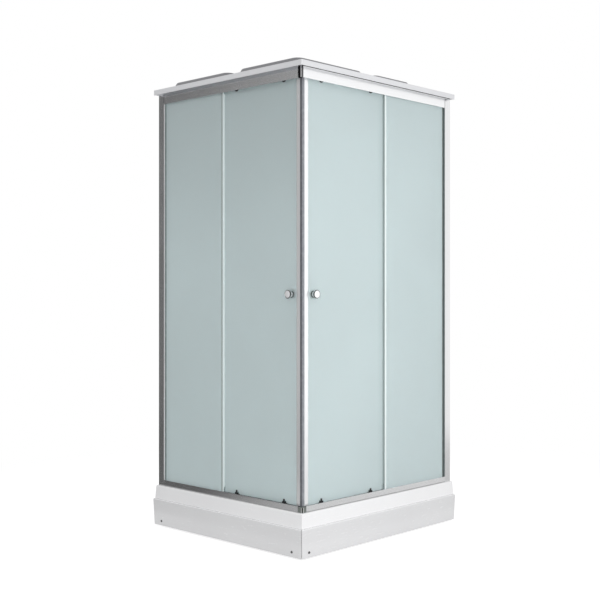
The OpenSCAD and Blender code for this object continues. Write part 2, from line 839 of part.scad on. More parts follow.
// One raised pad of the roof, with sloping sides and rounded corners
module roof_pad(x, y) {
    r = 35;
    slope = 16;
    hull() for (px = [x[0] + r, x[1] - r], py = [y[0] + r, y[1] - r]) {
        translate([px, py, roof_rim_top - 1]) cylinder(r = r, h = 1 + eps, $fn = 32);
        translate([px, py, roof_rim_top + roof_pad_h - 4]) cylinder(r = r - slope + 4, h = eps, $fn = 32);
        translate([px, py, roof_rim_top + roof_pad_h - eps]) cylinder(r = r - slope, h = eps, $fn = 32);
    }
}

module roof() {
    lo = -half;
    hi = face + roof_out;
    r = 12;
    rear_inset = [90, 239];
    valley = [24, -32];
    cavity_inset = 40;
    cols = [[lo + rear_inset[0], valley[0] - roof_valley_w / 2],
        [valley[0] + roof_valley_w / 2, hi - pad_inset_right]];
    rows = [[-hi + pad_inset_left, valley[1] - roof_valley_w / 2],
        [valley[1] + roof_valley_w / 2, half - rear_inset[1]]];
    w = hi - lo;
    edge = roof_edge_w;
    rim_h = roof_rim_h + roof_lip;
    lip_w = 4;
    groove_w = roof_out - lip_w - 2;
    groove_top = frame_top + 12;
    color(white_acrylic) difference() {
        union() {
            translate([lo, -hi, frame_top - roof_lip]) union() {
                translate([r, 0, 0]) cube([w - 2 * r, w, rim_h]);
                translate([0, r, 0]) cube([w, w - 2 * r, rim_h]);
                for (x = [r, w - r], y = [r, w - r]) translate([x, y, 0]) cylinder(r = r, h = rim_h);
            }
            for (x = cols, y = rows) roof_pad(x, y);
        }
        translate([lo - 1, -hi + lip_w, frame_top - roof_lip - 1])
            cube([w + 1 - lip_w, w + 1 - lip_w, roof_lip + 1]);
        translate([lo + lip_w, -hi + lip_w, frame_top - 1])
            cube([w - 2 * lip_w, groove_w, groove_top - frame_top + 1]);
        translate([hi - lip_w - groove_w, -hi + lip_w, frame_top - 1])
            cube([groove_w, w - 2 * lip_w, groove_top - frame_top + 1]);
        translate([lo + edge, -hi + edge, frame_top - 1])
            cube([w - 2 * edge, w - 2 * edge, roof_rim_h + 1 - roof_wall]);
        for (x = cols, y = rows) translate([x[0] + cavity_inset, y[0] + cavity_inset, frame_top])
            cube([x[1] - x[0] - 2 * cavity_inset, y[1] - y[0] - 2 * cavity_inset,
                roof_rim_h + roof_pad_h - roof_wall]);
    }
}

// A quarter turn of tube
module elbow(bend, r) {
    rotate_extrude(angle = 90) translate([bend, 0]) circle(r = r);
}

module mixer_body() {
    outlet = 25;
    color(chrome_grey) difference() {
        union() {
            translate([fit_x, fit_y + bar_half, mixer_z]) rotate([90, 0, 0])
                cylinder(r = mixer_r, h = 2 * bar_half);
            translate([fit_x, fit_y + bar_half + handle_len - 15, mixer_z]) rotate([90, 0, 0])
                cylinder(r = spindle_r, h = 2 * (bar_half + handle_len - 15));
            for (k = [-1, 1]) translate([0, fit_y + k * inlet_pitch / 2, mixer_z]) rotate([0, 90, 0]) {
                translate([0, 0, 1 - half]) cylinder(r = inlet_r, h = fit_x + half - 1);
                translate([0, 0, panel_x + gap / 3]) cylinder(r = rose_r, h = rose_thick);
                translate([0, 0, panel_x + gap / 3]) cylinder(r = union_r, h = mixer_reach);
            }
            translate([fit_x, fit_y, mixer_z]) cylinder(r = riser_r + 3, h = mixer_r + outlet);
        }
        translate([fit_x, fit_y, mixer_z + mixer_r]) cylinder(r = riser_r + bore_gap, h = outlet + 1);
        for (k = [-1, 1]) translate([-half, fit_y + k * inlet_pitch / 2, mixer_z]) rotate([0, 90, 0])
            cylinder(r = inlet_r - 3, h = mixer_reach);
    }
}

// A ribbed handle on the mixer's spindle; side is -1 or 1 along Y
module mixer_handle(side) {
    grooves = 12;
    groove_r = 3;
    plain = 8;
    end_thick = 14;
    y0 = bar_half + gap;
    color(chrome_grey) translate([fit_x, fit_y, mixer_z]) rotate([-90 * side, 0, 0]) difference() {
        translate([0, 0, y0]) cylinder(r = handle_r, h = handle_len);
        translate([0, 0, y0 - 1]) cylinder(r = spindle_r + bore_gap, h = handle_len - end_thick);
        for (k = [0 : grooves - 1]) rotate([0, 0, k * 360 / grooves])
            translate([handle_r + groove_r / 3, 0, y0 + plain]) cylinder(r = groove_r, h = handle_len);
    }
}

module riser_pipe() {
    foot_z = mixer_z + mixer_r + gap;
    bracket_z = head_z - riser_bracket_below;
    clamp_h = 20;
    clamp_r = riser_r + 5;
    arm_r = 6;
    plate_r = 20;
    plate_thick = 5;
    color(chrome_grey) {
        translate([fit_x, fit_y, foot_z]) cylinder(r = riser_r, h = arm_z - riser_bend - foot_z);
        translate([fit_x + riser_bend, fit_y, arm_z - riser_bend]) rotate([90, 0, 180])
            elbow(riser_bend, riser_r);
        translate([fit_x + riser_bend, fit_y, arm_z]) rotate([0, 90, 0])
            cylinder(r = riser_r, h = head_x - arm_bend - fit_x - riser_bend);
        translate([head_x - arm_bend, fit_y, arm_z - arm_bend]) rotate([90, 0, 0]) elbow(arm_bend, riser_r);
        translate([head_x, fit_y, ball_z]) cylinder(r = 6, h = arm_z - arm_bend - ball_z);
        translate([head_x, fit_y, ball_z]) sphere(r = ball_r);
        difference() {
            union() {
                translate([fit_x, fit_y, bracket_z]) cylinder(r = clamp_r, h = clamp_h);
                translate([panel_x + gap / 3, fit_y, bracket_z + clamp_h / 2]) rotate([0, 90, 0]) {
                    cylinder(r = arm_r, h = mixer_reach - riser_r);
                    cylinder(r = plate_r, h = plate_thick);
                }
            }
            translate([fit_x, fit_y, bracket_z - 1]) cylinder(r = riser_r + bore_gap, h = clamp_h + 2);
        }
    }
}

module shower_head() {
    disc = 8;
    cone = [14, 6];
    collar_r = ball_r + 4;
    color(chrome_grey) translate([head_x, fit_y, 0]) difference() {
        union() {
            translate([0, 0, head_z]) cylinder(r = head_r, h = disc);
            translate([0, 0, head_z + disc - eps])
                cylinder(r1 = collar_r + cone[0], r2 = collar_r, h = cone[1]);
            translate([0, 0, head_z + disc])
                cylinder(r = collar_r, h = ball_z + ball_r / 2 - head_z - disc);
        }
        translate([0, 0, ball_z]) sphere(r = ball_r + gap);
    }
}

tray_basin();
color(white_acrylic) on_left() apron([screw_corner_left, screw_far]);  // apron_left
color(white_acrylic) on_right() apron([screw_corner_right]);  // apron_right
apron_screws();
tray_frame();
levelling_rods();
foot_pads();
waste_trap();
waste_grille();
bottom_corner_joint();
top_corner_joint();
roof();
on_left() end_post();  // end_post_left
on_right() end_post();  // end_post_right
rear_corner_profile();
back_panel_left();
back_panel_right();
on_left() top_rail(top_rail_end_left);  // top_rail_left
on_right() top_rail(top_rail_end_right);  // top_rail_right
on_left() bottom_rail();  // bottom_rail_left
on_right() bottom_rail();  // bottom_rail_right
on_left() fixed_glass();  // fixed_glass_left
on_right() fixed_glass();  // fixed_glass_right
on_left() fixed_glass_seal();  // fixed_glass_seal_left
on_right() fixed_glass_seal();  // fixed_glass_seal_right
on_left() glass_gasket();  // glass_gasket_left
on_right() glass_gasket();  // glass_gasket_right
on_left() glass_clips();  // glass_clips_left
on_right() glass_clips();  // glass_clips_right
on_left() door_glass();  // door_glass_left
on_right() door_glass();  // door_glass_right
on_left() closing_profile();  // closing_profile_left
on_right() closing_profile();  // closing_profile_right
on_left() magnet_seal();  // magnet_seal_left
on_right() magnet_seal();  // magnet_seal_right
on_left() overlap_seal();  // overlap_seal_left
on_right() overlap_seal();  // overlap_seal_right
on_left() door_knob();  // door_knob_left
on_right() door_knob();  // door_knob_right
on_left() top_hangers();  // top_hangers_left
on_right() top_hangers();  // top_hangers_right
on_left() guide_housings();  // guide_housings_left
on_right() guide_housings();  // guide_housings_right
on_left() top_wheel(front);  // top_wheel_left_front
on_left() top_wheel(rear);  // top_wheel_left_rear
on_right() top_wheel(front);  // top_wheel_right_front
on_right() top_wheel(rear);  // top_wheel_right_rear
on_left() guide_button(front);  // guide_button_left_front
on_left() guide_button(rear);  // guide_button_left_rear
on_right() guide_button(front);  // guide_button_right_front
on_right() guide_button(rear);  // guide_button_right_rear
on_left() guide_wheel(front);  // guide_wheel_left_front
on_left() guide_wheel(rear);  // guide_wheel_left_rear
on_right() guide_wheel(front);  // guide_wheel_right_front
on_right() guide_wheel(rear);  // guide_wheel_right_rear
mixer_body();
mixer_handle(1);  // flow_handle
mixer_handle(-1);  // temperature_handle
riser_pipe();
shower_head();
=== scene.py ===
"""A square shower cabin with sliding doors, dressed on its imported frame.

Each front wall is worked in its own coordinates: s runs along the wall from the
frame's front corner, t runs inwards from the face of the frame, and z is height.
Lengths are in metres.
"""

import json
import math

import bmesh
import bpy
from bpy.props import FloatProperty, FloatVectorProperty, PointerProperty
from bpy.types import Operator, Panel, PropertyGroup
from mathutils import Matrix, Vector


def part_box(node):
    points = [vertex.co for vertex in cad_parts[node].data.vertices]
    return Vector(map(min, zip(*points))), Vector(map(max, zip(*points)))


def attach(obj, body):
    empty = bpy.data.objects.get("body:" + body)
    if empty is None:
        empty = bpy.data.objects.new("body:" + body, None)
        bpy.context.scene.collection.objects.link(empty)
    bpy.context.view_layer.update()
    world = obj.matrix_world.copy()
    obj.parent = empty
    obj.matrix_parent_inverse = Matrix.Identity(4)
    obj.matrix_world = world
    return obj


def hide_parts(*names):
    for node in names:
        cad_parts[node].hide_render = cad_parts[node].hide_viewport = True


bl_info = {
    "name": "Corner Shower Cabin",
    "version": (1, 0, 0),
    "blender": (4, 5, 0),
    "location": "3D View > Sidebar > Shower Cabin",
    "description": "Dresses a square shower cabin with sliding doors, and sets its studio",
    "category": "Object",
}

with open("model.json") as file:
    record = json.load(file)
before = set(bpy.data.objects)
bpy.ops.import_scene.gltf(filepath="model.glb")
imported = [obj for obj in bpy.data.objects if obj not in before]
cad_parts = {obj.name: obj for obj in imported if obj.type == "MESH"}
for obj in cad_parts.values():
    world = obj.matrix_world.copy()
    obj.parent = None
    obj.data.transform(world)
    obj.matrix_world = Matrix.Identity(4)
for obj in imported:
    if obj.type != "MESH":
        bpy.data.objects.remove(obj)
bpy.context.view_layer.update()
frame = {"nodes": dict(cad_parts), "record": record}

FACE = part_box("top_rail_right")[1].x
SIDES = ("left", "right")
PLACES = ("front", "rear")
WALL = {
    "left": Matrix(((-1, 0, 0, FACE), (0, 1, 0, -FACE), (0, 0, 1, 0), (0, 0, 0, 1))),
    "right": Matrix(((0, -1, 0, FACE), (1, 0, 0, -FACE), (0, 0, 1, 0), (0, 0, 0, 1))),
}

# Points this near a plane lie in it, and points this near each other are one
TOLERANCE = 2e-5
MERGED = 1e-6

# Rails run along this axis, and panes face along this one
RAIL_AXIS = {"left": "x", "right": "y"}
GLASS_AXIS = {"left": "y", "right": "x"}


def wall_box(node, side="right"):
    """Lowest and highest corner of a node, in the s, t and z of its wall."""
    low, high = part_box(node)
    if side == "left":
        return (
            Vector((FACE - high.x, low.y + FACE, low.z)),
            Vector((FACE - low.x, high.y + FACE, high.z)),
        )
    return (
        Vector((low.y + FACE, FACE - high.x, low.z)),
        Vector((high.y + FACE, FACE - low.x, high.z)),
    )


# Sizes and colours


def length(name, description, default, top=1.0):
    return FloatProperty(
        name=name, description=description, default=default, min=0.0, soft_max=top,
        subtype="DISTANCE", unit="LENGTH", precision=5,
    )


def colour(name, description, default):
    return FloatVectorProperty(
        name=name, description=description, default=default, size=3, min=0.0, max=1.0,
        subtype="COLOR",
    )


class CabinSizes(PropertyGroup):
    """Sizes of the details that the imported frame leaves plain"""

    metal_edge: length("Metal Edge", "Rounding of the aluminium profiles' edges", 0.0005, 0.002)
    glass_edge: length("Glass Edge", "Ground edge of each pane", 0.0008, 0.002)
    plastic_edge: length("Plastic Edge", "Rounding of the small moulded pieces", 0.0006, 0.002)
    tray_edge: length("Tray Edge", "Rounding of the tray's top edge", 0.0045, 0.006)
    ledge_edge: length("Ledge Edge", "Rounding of the tray's ledge", 0.0005, 0.004)
    apron_seam: length("Apron Seam", "How far each apron ends before the corner", 0.0008, 0.001)
    apron_edge: length("Apron Edge", "Rounding of the aprons' top edge", 0.0042, 0.006)
    bowl_edge: length(
        "Bowl Edge", "Rounding where the tray's rim turns into the bowl", 0.008, 0.012
    )
    rim_edge: length("Roof Rim Edge", "Rounding of the roof's rim", 0.0022, 0.006)
    rim_corner: length("Roof Rim Corner", "Radius of the roof's corners", 0.0045, 0.03)
    pad_corner: length("Roof Pad Corner", "Radius of the pads' corners", 0.035, 0.06)
    pad_lean: length("Roof Pad Lean", "How far a pad's foot lies outside its top", 0.016, 0.03)
    seal_edge: length("Seal Edge", "Rounding of the seals and gaskets", 0.0003, 0.001)
    trim_edge: length("Trim Edge", "Rounding of the thin strips on the frame", 0.0003, 0.001)
    hairline_edge: length("Hairline Edge", "Rounding of sealant, seams and ribs", 0.0002, 0.001)
    knob_disc: length("Knob Disc", "Thickness of a knob's disc", 0.0055, 0.012)


class CabinColours(PropertyGroup):
    """Colours of the cabin's materials"""

    acrylic: colour("Acrylic", "White of the tray", (0.83, 0.83, 0.84))
    # Painted shade: the aprons' and the roof's whites are the tray's acrylic painted darker
    apron: colour("Apron Acrylic", "White of the aprons", (0.745, 0.745, 0.755))
    roof: colour("Roof", "White of the roof", (0.745, 0.75, 0.77))
    # Painted shade: grey painted on the steep sides of the roof's pads
    flank_shade: colour("Roof Flank Shade", "Painted shade on the steep sides of the roof's pads", (0.27, 0.27, 0.285))
    panel: colour("Panel", "White of the back panels", (0.80, 0.84, 0.84))
    aluminium: colour("Aluminium", "Satin aluminium of the frame", (0.89, 0.895, 0.905))
    glass: colour("Glass", "Frosted glass", (0.745, 0.85, 0.86))
    glass_rim: colour("Glass Rim", "Ground edge of the glass", (0.24, 0.42, 0.38))
    chrome: colour("Chrome", "Polished plate of the taps and the grille", (0.86, 0.87, 0.88))
    # Painted shade and reflection: the knobs' chrome bodies and rings are painted dark
    knob: colour("Knob Body", "Plated bodies of the knobs", (0.26, 0.29, 0.29))
    ring: colour("Knob Ring", "Dark rings of the knobs", (0.06, 0.065, 0.065))
    edging: colour("Pane Edging", "Strips on the fixed panes' free edges", (0.86, 0.93, 0.93))
    # Painted shade for the panes' strips, on their faces that face along y
    lip: colour("Pane Strip Shade", "Painted shade on those strips' faces that face along y", (0.40, 0.45, 0.45))
    profile: colour(
        "Bright Profile", "Closing edges of the doors and caps of the knobs", (0.955, 0.96, 0.975)
    )
    steel: colour("Steel", "Zinc of the underframe", (0.52, 0.54, 0.56))
    screw: colour("Screw", "Blackened screws", (0.12, 0.12, 0.12))
    rubber: colour("Rubber", "Rubber of the feet", (0.035, 0.035, 0.035))
    # Painted light and shade: the two gaskets are one rubber, the left painted lighter and the
    # right darker
    gasket_left: colour("Left Gasket", "Gasket of the left fixed pane", (0.32, 0.38, 0.38))
    gasket_right: colour("Right Gasket", "Gasket of the right fixed pane", (0.09, 0.11, 0.11))
    # Painted shade: the two magnetic seals are one rubber, the left painted darker
    magnet_left: colour("Left Magnet Seal", "Magnetic seal of the left door", (0.13, 0.135, 0.15))
    magnet_right: colour("Right Magnet Seal", "Magnetic seal of the right door", (0.24, 0.25, 0.27))
    vinyl: colour("Vinyl", "Milky seals of the panes", (0.78, 0.84, 0.84))
    black: colour("Black Plastic", "Roller caps, guides and clips", (0.022, 0.023, 0.025))
    # Also the painted shadow in the roof's groove above the right strip
    slot: colour("Corner Slot", "Dark plastic between the top rails", (0.006, 0.006, 0.007))
    rib: colour("Foot Rib", "Pale ribs on the joint at the foot of the corner", (0.42, 0.43, 0.42))
    # Painted shadow: the dark line under the bottom rails
    sealant: colour("Rail Shadow", "Painted shadow under the bottom rails", (0.27, 0.27, 0.275))
    joint: colour("Joint", "Moulded joint at the foot of the corner", (0.15, 0.165, 0.155))
    nylon: colour("Nylon", "Wheels", (0.72, 0.72, 0.69))
    trap: colour("Trap", "Waste trap", (0.74, 0.74, 0.71))
    floor: colour("Floor", "Studio floor", (0.42, 0.42, 0.42))


# Materials


class Sock:
    """An output of a node. Sums written with it add Math nodes to its material."""

    def __init__(self, finish, socket):
        self.finish = finish
        self.socket = socket

    def maths(self, operation, *values, clamp=False):
        return self.finish.node(
            "ShaderNodeMath", {"operation": operation, "use_clamp": clamp}, dict(enumerate(values))
        )

    def __add__(self, other):
        return self.maths("ADD", self, other)

    def __sub__(self, other):
        return self.maths("SUBTRACT", self, other)

    def __mul__(self, other):
        return self.maths("MULTIPLY", self, other)

    def __radd__(self, other):
        return self.maths("ADD", other, self)

    def __rsub__(self, other):
        return self.maths("SUBTRACT", other, self)

    def __rmul__(self, other):
        return self.maths("MULTIPLY", other, self)

    def clipped(self):
        return self.maths("ADD", self, 0.0, clamp=True)

    def ramp(self, low, high, start=0.0, end=1.0):
        """This value taken from low..high to start..end, held at both ends."""
        return self.finish.node(
            "ShaderNodeMapRange", {"interpolation_type": "SMOOTHSTEP"},
            {0: self, 1: low, 2: high, 3: start, 4: end},
        )


class Finish:
    """The nodes of a material or a world in the making. Its node method adds any node."""

    def __init__(self, name, owner=None):
        self.owner = owner or bpy.data.materials.new(name)
        self.owner.use_nodes = True
        self.tree = self.owner.node_tree
        self.tree.nodes.clear()

    def node(self, kind, settings=None, values=None, out=0):
        made = self.tree.nodes.new(kind)
        for key, value in (settings or {}).items():
            setattr(made, key, value)
        for key, value in (values or {}).items():
            self.put(made.inputs[key], value)
        return Sock(self, made.outputs[out]) if made.outputs else None

    def put(self, socket, value):
        if isinstance(value, Sock):
            self.tree.links.new(value.socket, socket)
        elif socket.type == "RGBA" and len(value) == 3:
            socket.default_value = tuple(value) + (1.0,)
        else:
            socket.default_value = value

    def place(self, scale=None):
        """Object coordinates, stretched where a pattern needs it."""
        here = self.node("ShaderNodeTexCoord", out="Object")
        if scale is None:
            return here
        return self.node("ShaderNodeMapping", {}, {"Vector": here, "Scale": scale})

    def part(self, vector, axis):
        """The X, Y or Z of a vector."""
        return self.node("ShaderNodeSeparateXYZ", {}, {0: vector}, out=axis)

    def facing(self, axis):
        """How far the surface faces along an axis, from -1 to 1."""
        return self.part(self.node("ShaderNodeTexCoord", out="Normal"), axis)

    def height(self):
        return self.part(self.place(), "Z")

    def noise(self, where, scale, detail, rough=0.5):
        return self.node(
            "ShaderNodeTexNoise", {},
            {"Vector": where, "Scale": scale, "Detail": detail, "Roughness": rough},
        )

    def blend(self, amount, first, second):
        """A colour between two."""
        return self.node(
            "ShaderNodeMix", {"data_type": "RGBA"}, {0: amount, 6: first, 7: second}, out=2
        )

    def bump(self, height, distance, strength):
        return self.node(
            "ShaderNodeBump", {}, {"Height": height, "Distance": distance, "Strength": strength}
        )

    def glow(self, strength):
        """White light of its own."""
        return self.node("ShaderNodeEmission", {}, {"Color": (1, 1, 1), "Strength": strength})

    def close(self, shader):
        """Ends a material of the stage, which isn't sampled as a lamp."""
        self.node("ShaderNodeOutputMaterial", {}, {"Surface": shader})
        self.owner.cycles.emission_sampling = "NONE"

    def surface(self, **values):
        """Ends a material of the cabin with its shader, and gives the material."""
        names = {
            "colour": "Base Color", "rough": "Roughness", "metal": "Metallic", "normal": "Normal",
            "clear": "Transmission Weight", "coat": "Coat Weight", "coat_rough": "Coat Roughness",
            "ior": "IOR", "gloss": "Specular IOR Level",
        }
        shader = self.node(
            "ShaderNodeBsdfPrincipled", {}, {names[key]: value for key, value in values.items()}
        )
        self.node("ShaderNodeOutputMaterial", {}, {"Surface": shader})
        return self.owner


def shade(base, factor):
    return tuple(min(1.0, part * factor) for part in base)


def made_once(maker):
    """Keeps each material, so that pieces of one finish share it."""
    kept = {}

    def ask(*options):
        if options not in kept:
            kept[options] = maker(bpy.context.scene.cabin_colours, *options)
        return kept[options]

    return ask


@made_once
def white_acrylic(colours, name, foot=0.0, top=0.0):
    """Glossy sheet acrylic with a faint orange peel and slow changes of gloss.

    The roof's is duller, and painted grey on the steep sides of its pads, between foot and top, as
    painted shade.
    """
    f = Finish("acrylic_" + name)
    # The aprons and the roof get darker copies of the tray's white, as painted shade
    base, matt = {
        "tray": (colours.acrylic, 0.17), "apron": (colours.apron, 0.19),
        "roof": (colours.roof, 0.42), "panel": (colours.panel, 0.15),
    }[name]
    cloud = f.noise(f.place(), 2.2, 3.0)
    peel = f.noise(f.place(), 160.0, 2.0)
    scuffs = f.noise(f.place((1, 1, 5)), 24.0, 4.0, 0.65)
    colour = f.blend(cloud.ramp(0.35, 0.65), shade(base, 0.985), shade(base, 1.015))
    # Painted shade: the steep sides of the pads, between foot and top, are painted grey
    if name == "roof":
        above_foot = f.height().ramp(foot + 0.0006, foot + 0.0022)
        below_top = f.height().ramp(top - 0.0004, top - 0.0022)
        flank_shade = above_foot * below_top * (0.92 + 0.08 * scuffs)
        colour = f.blend(flank_shade, colour, colours.flank_shade)
    return f.surface(
        colour=colour,
        rough=matt + 0.10 * cloud + 0.06 * scuffs.ramp(0.52, 0.72),
        normal=f.bump(peel, 0.00006, 0.35),
        gloss=0.3 if name == "roof" else 0.5,
        coat=0.0 if name == "roof" else 0.25 + 0.1 * cloud,
        coat_rough=0.08,
    )


@made_once
def brushed_aluminium(colours, axis, place="top"):
    """Satin anodised profile with fine lines along an axis. Each axis and place has its own copy,
    painted lighter or darker as painted light and shade.
    """
    f = Finish(f"brushed_aluminium_{axis}_{place}")
    # Painted light and shade: the left bottom rail and the posts are painted darker, the right top
    # rail lighter and less metallic
    painted_light_tone, metal = {
        ("x", "top"): (1.0, 1.0), ("x", "foot"): (0.88, 1.0), ("y", "top"): (1.06, 0.5),
        ("y", "foot"): (1.0, 0.84), ("z", "top"): (0.93, 1.0),
    }[axis, place]
    stretch = {"x": (5, 900, 900), "y": (900, 5, 900), "z": (900, 900, 5)}[axis]
    lines = f.noise(f.place(stretch), 1.0, 3.0, 0.6)
    broad = f.noise(f.place(tuple(part * 0.12 for part in stretch)), 1.0, 2.0)
    marks = f.noise(f.place(), 7.0, 3.0)
    drawn = 0.6 * lines + 0.4 * broad
    base = shade(colours.aluminium, painted_light_tone)
    return f.surface(
        colour=f.blend(drawn.ramp(0.3, 0.7), shade(base, 0.975), shade(base, 1.02)),
        metal=metal,
        rough=0.17 + 0.05 * lines + 0.04 * marks.ramp(0.45, 0.7),
        normal=f.bump(lines, 0.000012, 0.2),
    )


@made_once
def frosted_glass(colours, axis):
    """Satin glass, greener at its ground edges. The right wall's is painted a little lighter as
    painted light, and the left wall's darker towards its top as painted shade.
    """
    f = Finish("frosted_glass_" + axis)
    across = f.facing(axis.upper())
    edge = 1.0 - (across * across).ramp(0.2, 0.6)
    satin = f.noise(f.place(), 900.0, 2.0)
    cloud = f.noise(f.place(), 1.6, 2.0)
    # Painted light: the right wall's panes are painted a little lighter
    base = shade(colours.glass, {"x": 1.04, "y": 1.0}[axis])
    milk = f.blend(cloud.ramp(0.35, 0.65), shade(base, 0.98), shade(base, 1.02))
    # Painted shade: the left wall's panes are painted darker towards their top
    if axis == "y":
        milk = f.blend(f.height().ramp(1.15, 2.0), milk, shade(base, 0.89))
    return f.surface(
        colour=f.blend(edge, milk, colours.glass_rim),
        rough=0.46 + 0.06 * satin - 0.2 * edge,
        clear=0.42,
        ior=1.5,
        normal=f.bump(satin, 0.00004, 0.25),
    )


@made_once
def bright_chrome(colours):
    """Polished plate with faint wiping marks."""
    f = Finish("bright_chrome")
    wipe = f.noise(f.place((1, 1, 3)), 30.0, 4.0, 0.6)
    return f.surface(
        colour=f.blend(wipe.ramp(0.3, 0.7), shade(colours.chrome, 0.97), colours.chrome),
        metal=1.0,
        rough=0.045 + 0.05 * wipe.ramp(0.5, 0.75),
    )


@made_once
def plate_painted_dark(colours, kind):
    """Plate of the knobs' bodies and rings, painted dark as painted shade and painted dark
    reflections, with faint wiping marks.
    """
    f = Finish("plate_painted_dark_" + kind)
    wipe = f.noise(f.place(), 60.0, 4.0, 0.6)
    base, metal, rough = {
        "body": (colours.knob, 1.0, 0.06), "ring": (colours.ring, 0.6, 0.22),
    }[kind]
    return f.surface(
        colour=f.blend(wipe.ramp(0.3, 0.7), base, shade(base, 1.2)),
        metal=metal,
        rough=rough + 0.06 * wipe,
    )


@made_once
def satin_strip(colours, kind):
    """Pale satin edging with drawn lines along it. The panes' strips are painted darker on their
    faces along y, and the left closing profile darker all over, both as painted shade.
    """
    f = Finish("satin_strip_" + kind)
    lines = f.noise(f.place((700, 700, 4)), 1.0, 3.0, 0.6)
    base = {
        # Painted shade: the left door's closing profile is the bright profile painted darker
        "seal": colours.edging, "left": shade(colours.profile, 0.8), "right": colours.profile,
        "cap": colours.profile,
    }[kind]
    colour = f.blend(lines.ramp(0.3, 0.7), shade(base, 0.985), shade(base, 1.01))
    # Painted shade: the strips' faces that face along y are painted darker
    if kind == "seal":
        front = f.facing("Y")
        colour = f.blend((front * front).ramp(0.3, 0.7), colour, colours.lip)
    return f.surface(
        colour=colour,
        metal=0.15 if kind == "seal" else 0.5,
        rough=0.20 + 0.05 * lines,
        normal=f.bump(lines, 0.00001, 0.2),
        gloss=0.2 if kind == "seal" else 0.5,
    )


@made_once
def zinc_steel(colours):
    """Galvanised sheet, with spangle in two greys and a rougher bloom."""
    f = Finish("zinc_steel")
    spangle = f.node(
        "ShaderNodeTexVoronoi", {"feature": "F1"}, {"Vector": f.place(), "Scale": 110.0},
        out="Color",
    )
    leaf = f.node("ShaderNodeSeparateColor", {}, {0: spangle}, out=0)
    bloom = f.noise(f.place(), 18.0, 4.0)
    dark, pale = shade(colours.steel, 0.8), shade(colours.steel, 1.15)
    return f.surface(
        colour=f.blend(leaf * 0.6 + bloom * 0.4, dark, pale),
        metal=0.9,
        rough=0.34 + 0.22 * bloom,
        normal=f.bump(leaf, 0.00005, 0.3),
    )


@made_once
def fine_plastic(colours, name):
    """Small mouldings: a fine spark-eroded grain and slightly rubbed high spots."""
    f = Finish("moulded_" + name)
    base, rough = {
        "black": (colours.black, 0.55), "slot": (colours.slot, 0.75),
        # The grey under the bottom rails is a painted shadow
        "rib": (colours.rib, 0.4), "sealant": (colours.sealant, 0.6),
        "joint": (colours.joint, 0.45), "trap": (colours.trap, 0.38),
        "nylon": (colours.nylon, 0.40), "vinyl": (colours.vinyl, 0.34),
    }[name]
    grain = f.noise(f.place(), 1400.0, 2.0)
    rub = f.noise(f.place(), 45.0, 3.0)
    return f.surface(
        colour=f.blend(rub.ramp(0.4, 0.7), base, shade(base, 1.18 if name == "black" else 1.04)),
        rough=rough + 0.1 * grain - 0.07 * rub.ramp(0.5, 0.75),
        normal=f.bump(grain, 0.00004, 0.4),
        gloss=0.04 if name == "slot" else 0.5,
    )


@made_once
def rubber(colours, name):
    """Matt rubber with a faint bloom."""
    f = Finish("rubber_" + name)
    base = {
        "foot": colours.rubber,
        # The two gaskets' greys are painted light and shade
        "gasket_left": colours.gasket_left, "gasket_right": colours.gasket_right,
        # The left magnetic seal is painted darker as painted shade
        "magnet_left": colours.magnet_left, "magnet_right": colours.magnet_right,
    }[name]
    bloom = f.noise(f.place(), 60.0, 4.0)
    grain = f.noise(f.place(), 900.0, 2.0)
    return f.surface(
        colour=f.blend(bloom.ramp(0.4, 0.7), base, shade(base, 1.25)),
        rough=0.62 + 0.14 * bloom,
        gloss=0.35,
        normal=f.bump(grain, 0.00006, 0.5),
    )


@made_once
def dark_screw(colours):
    """Blackened screw, worn bright in places."""
    f = Finish("dark_screw")
    wear = f.noise(f.place(), 700.0, 3.0).ramp(0.6, 0.75)
    return f.surface(
        colour=f.blend(wear * 0.4, colours.screw, colours.steel),
        metal=0.85,
        rough=0.36 + 0.12 * wear,
    )


# Modelling helpers


def pick(*pieces):
    """Selects only these pieces, the last one active."""
    bpy.ops.object.select_all(action="DESELECT")
    for piece in pieces:
        piece.select_set(True)
    bpy.context.view_layer.objects.active = pieces[-1]


def corners(part):
    return [part] if isinstance(part, bmesh.types.BMVert) else list(part.verts)


def lying(**place):
    """A test for a face, edge or point that lies all at the given x, y or z."""

    def test(part):
        return all(
            abs(getattr(v.co, axis) - value) < TOLERANCE
            for v in corners(part) for axis, value in place.items()
        )

    return test


def along(axis):
    """A test for an edge that runs along x, y or z."""

    def test(edge):
        run = edge.verts[1].co - edge.verts[0].co
        return run.length > TOLERANCE and abs(getattr(run.normalized(), axis)) > 0.99

    return test


def edge_of(low, high, reach):
    """A test for a part that stays near the outline of a box, seen from above."""

    def test(part):
        return all(
            min(v.co.x - low.x, high.x - v.co.x, v.co.y - low.y, high.y - v.co.y) < reach
            for v in corners(part)
        )

    return test


def both(*tests):
    return lambda part: all(test(part) for test in tests)


def either(*tests):
    return lambda part: any(test(part) for test in tests)


def open_piece(piece, test=None, kind="FACE"):
    """Edit mode on one piece, with only what passes the test selected."""
    pick(piece)
    bpy.ops.object.mode_set(mode="EDIT")
    bpy.ops.mesh.select_mode(type=kind)
    bpy.ops.mesh.select_all(action="SELECT" if test is None else "DESELECT")
    if test is None:
        return
    mesh = bmesh.from_edit_mesh(piece.data)
    parts = {"FACE": mesh.faces, "EDGE": mesh.edges, "VERT": mesh.verts}[kind]
    found = [part for part in parts if test(part)]
    if not found:
        close_piece()
        raise RuntimeError(f"nothing of {piece.name} is where its shaping expects it")
    for part in found:
        part.select_set(True)
    mesh.select_flush_mode()
    bmesh.update_edit_mesh(piece.data)


def close_piece():
    bpy.ops.object.mode_set(mode="OBJECT")


def settle(piece):
    """Puts the piece's place into its mesh and leaves the object at the origin."""
    pick(piece)
    bpy.ops.object.transform_apply(location=True, rotation=True, scale=True)
    return piece


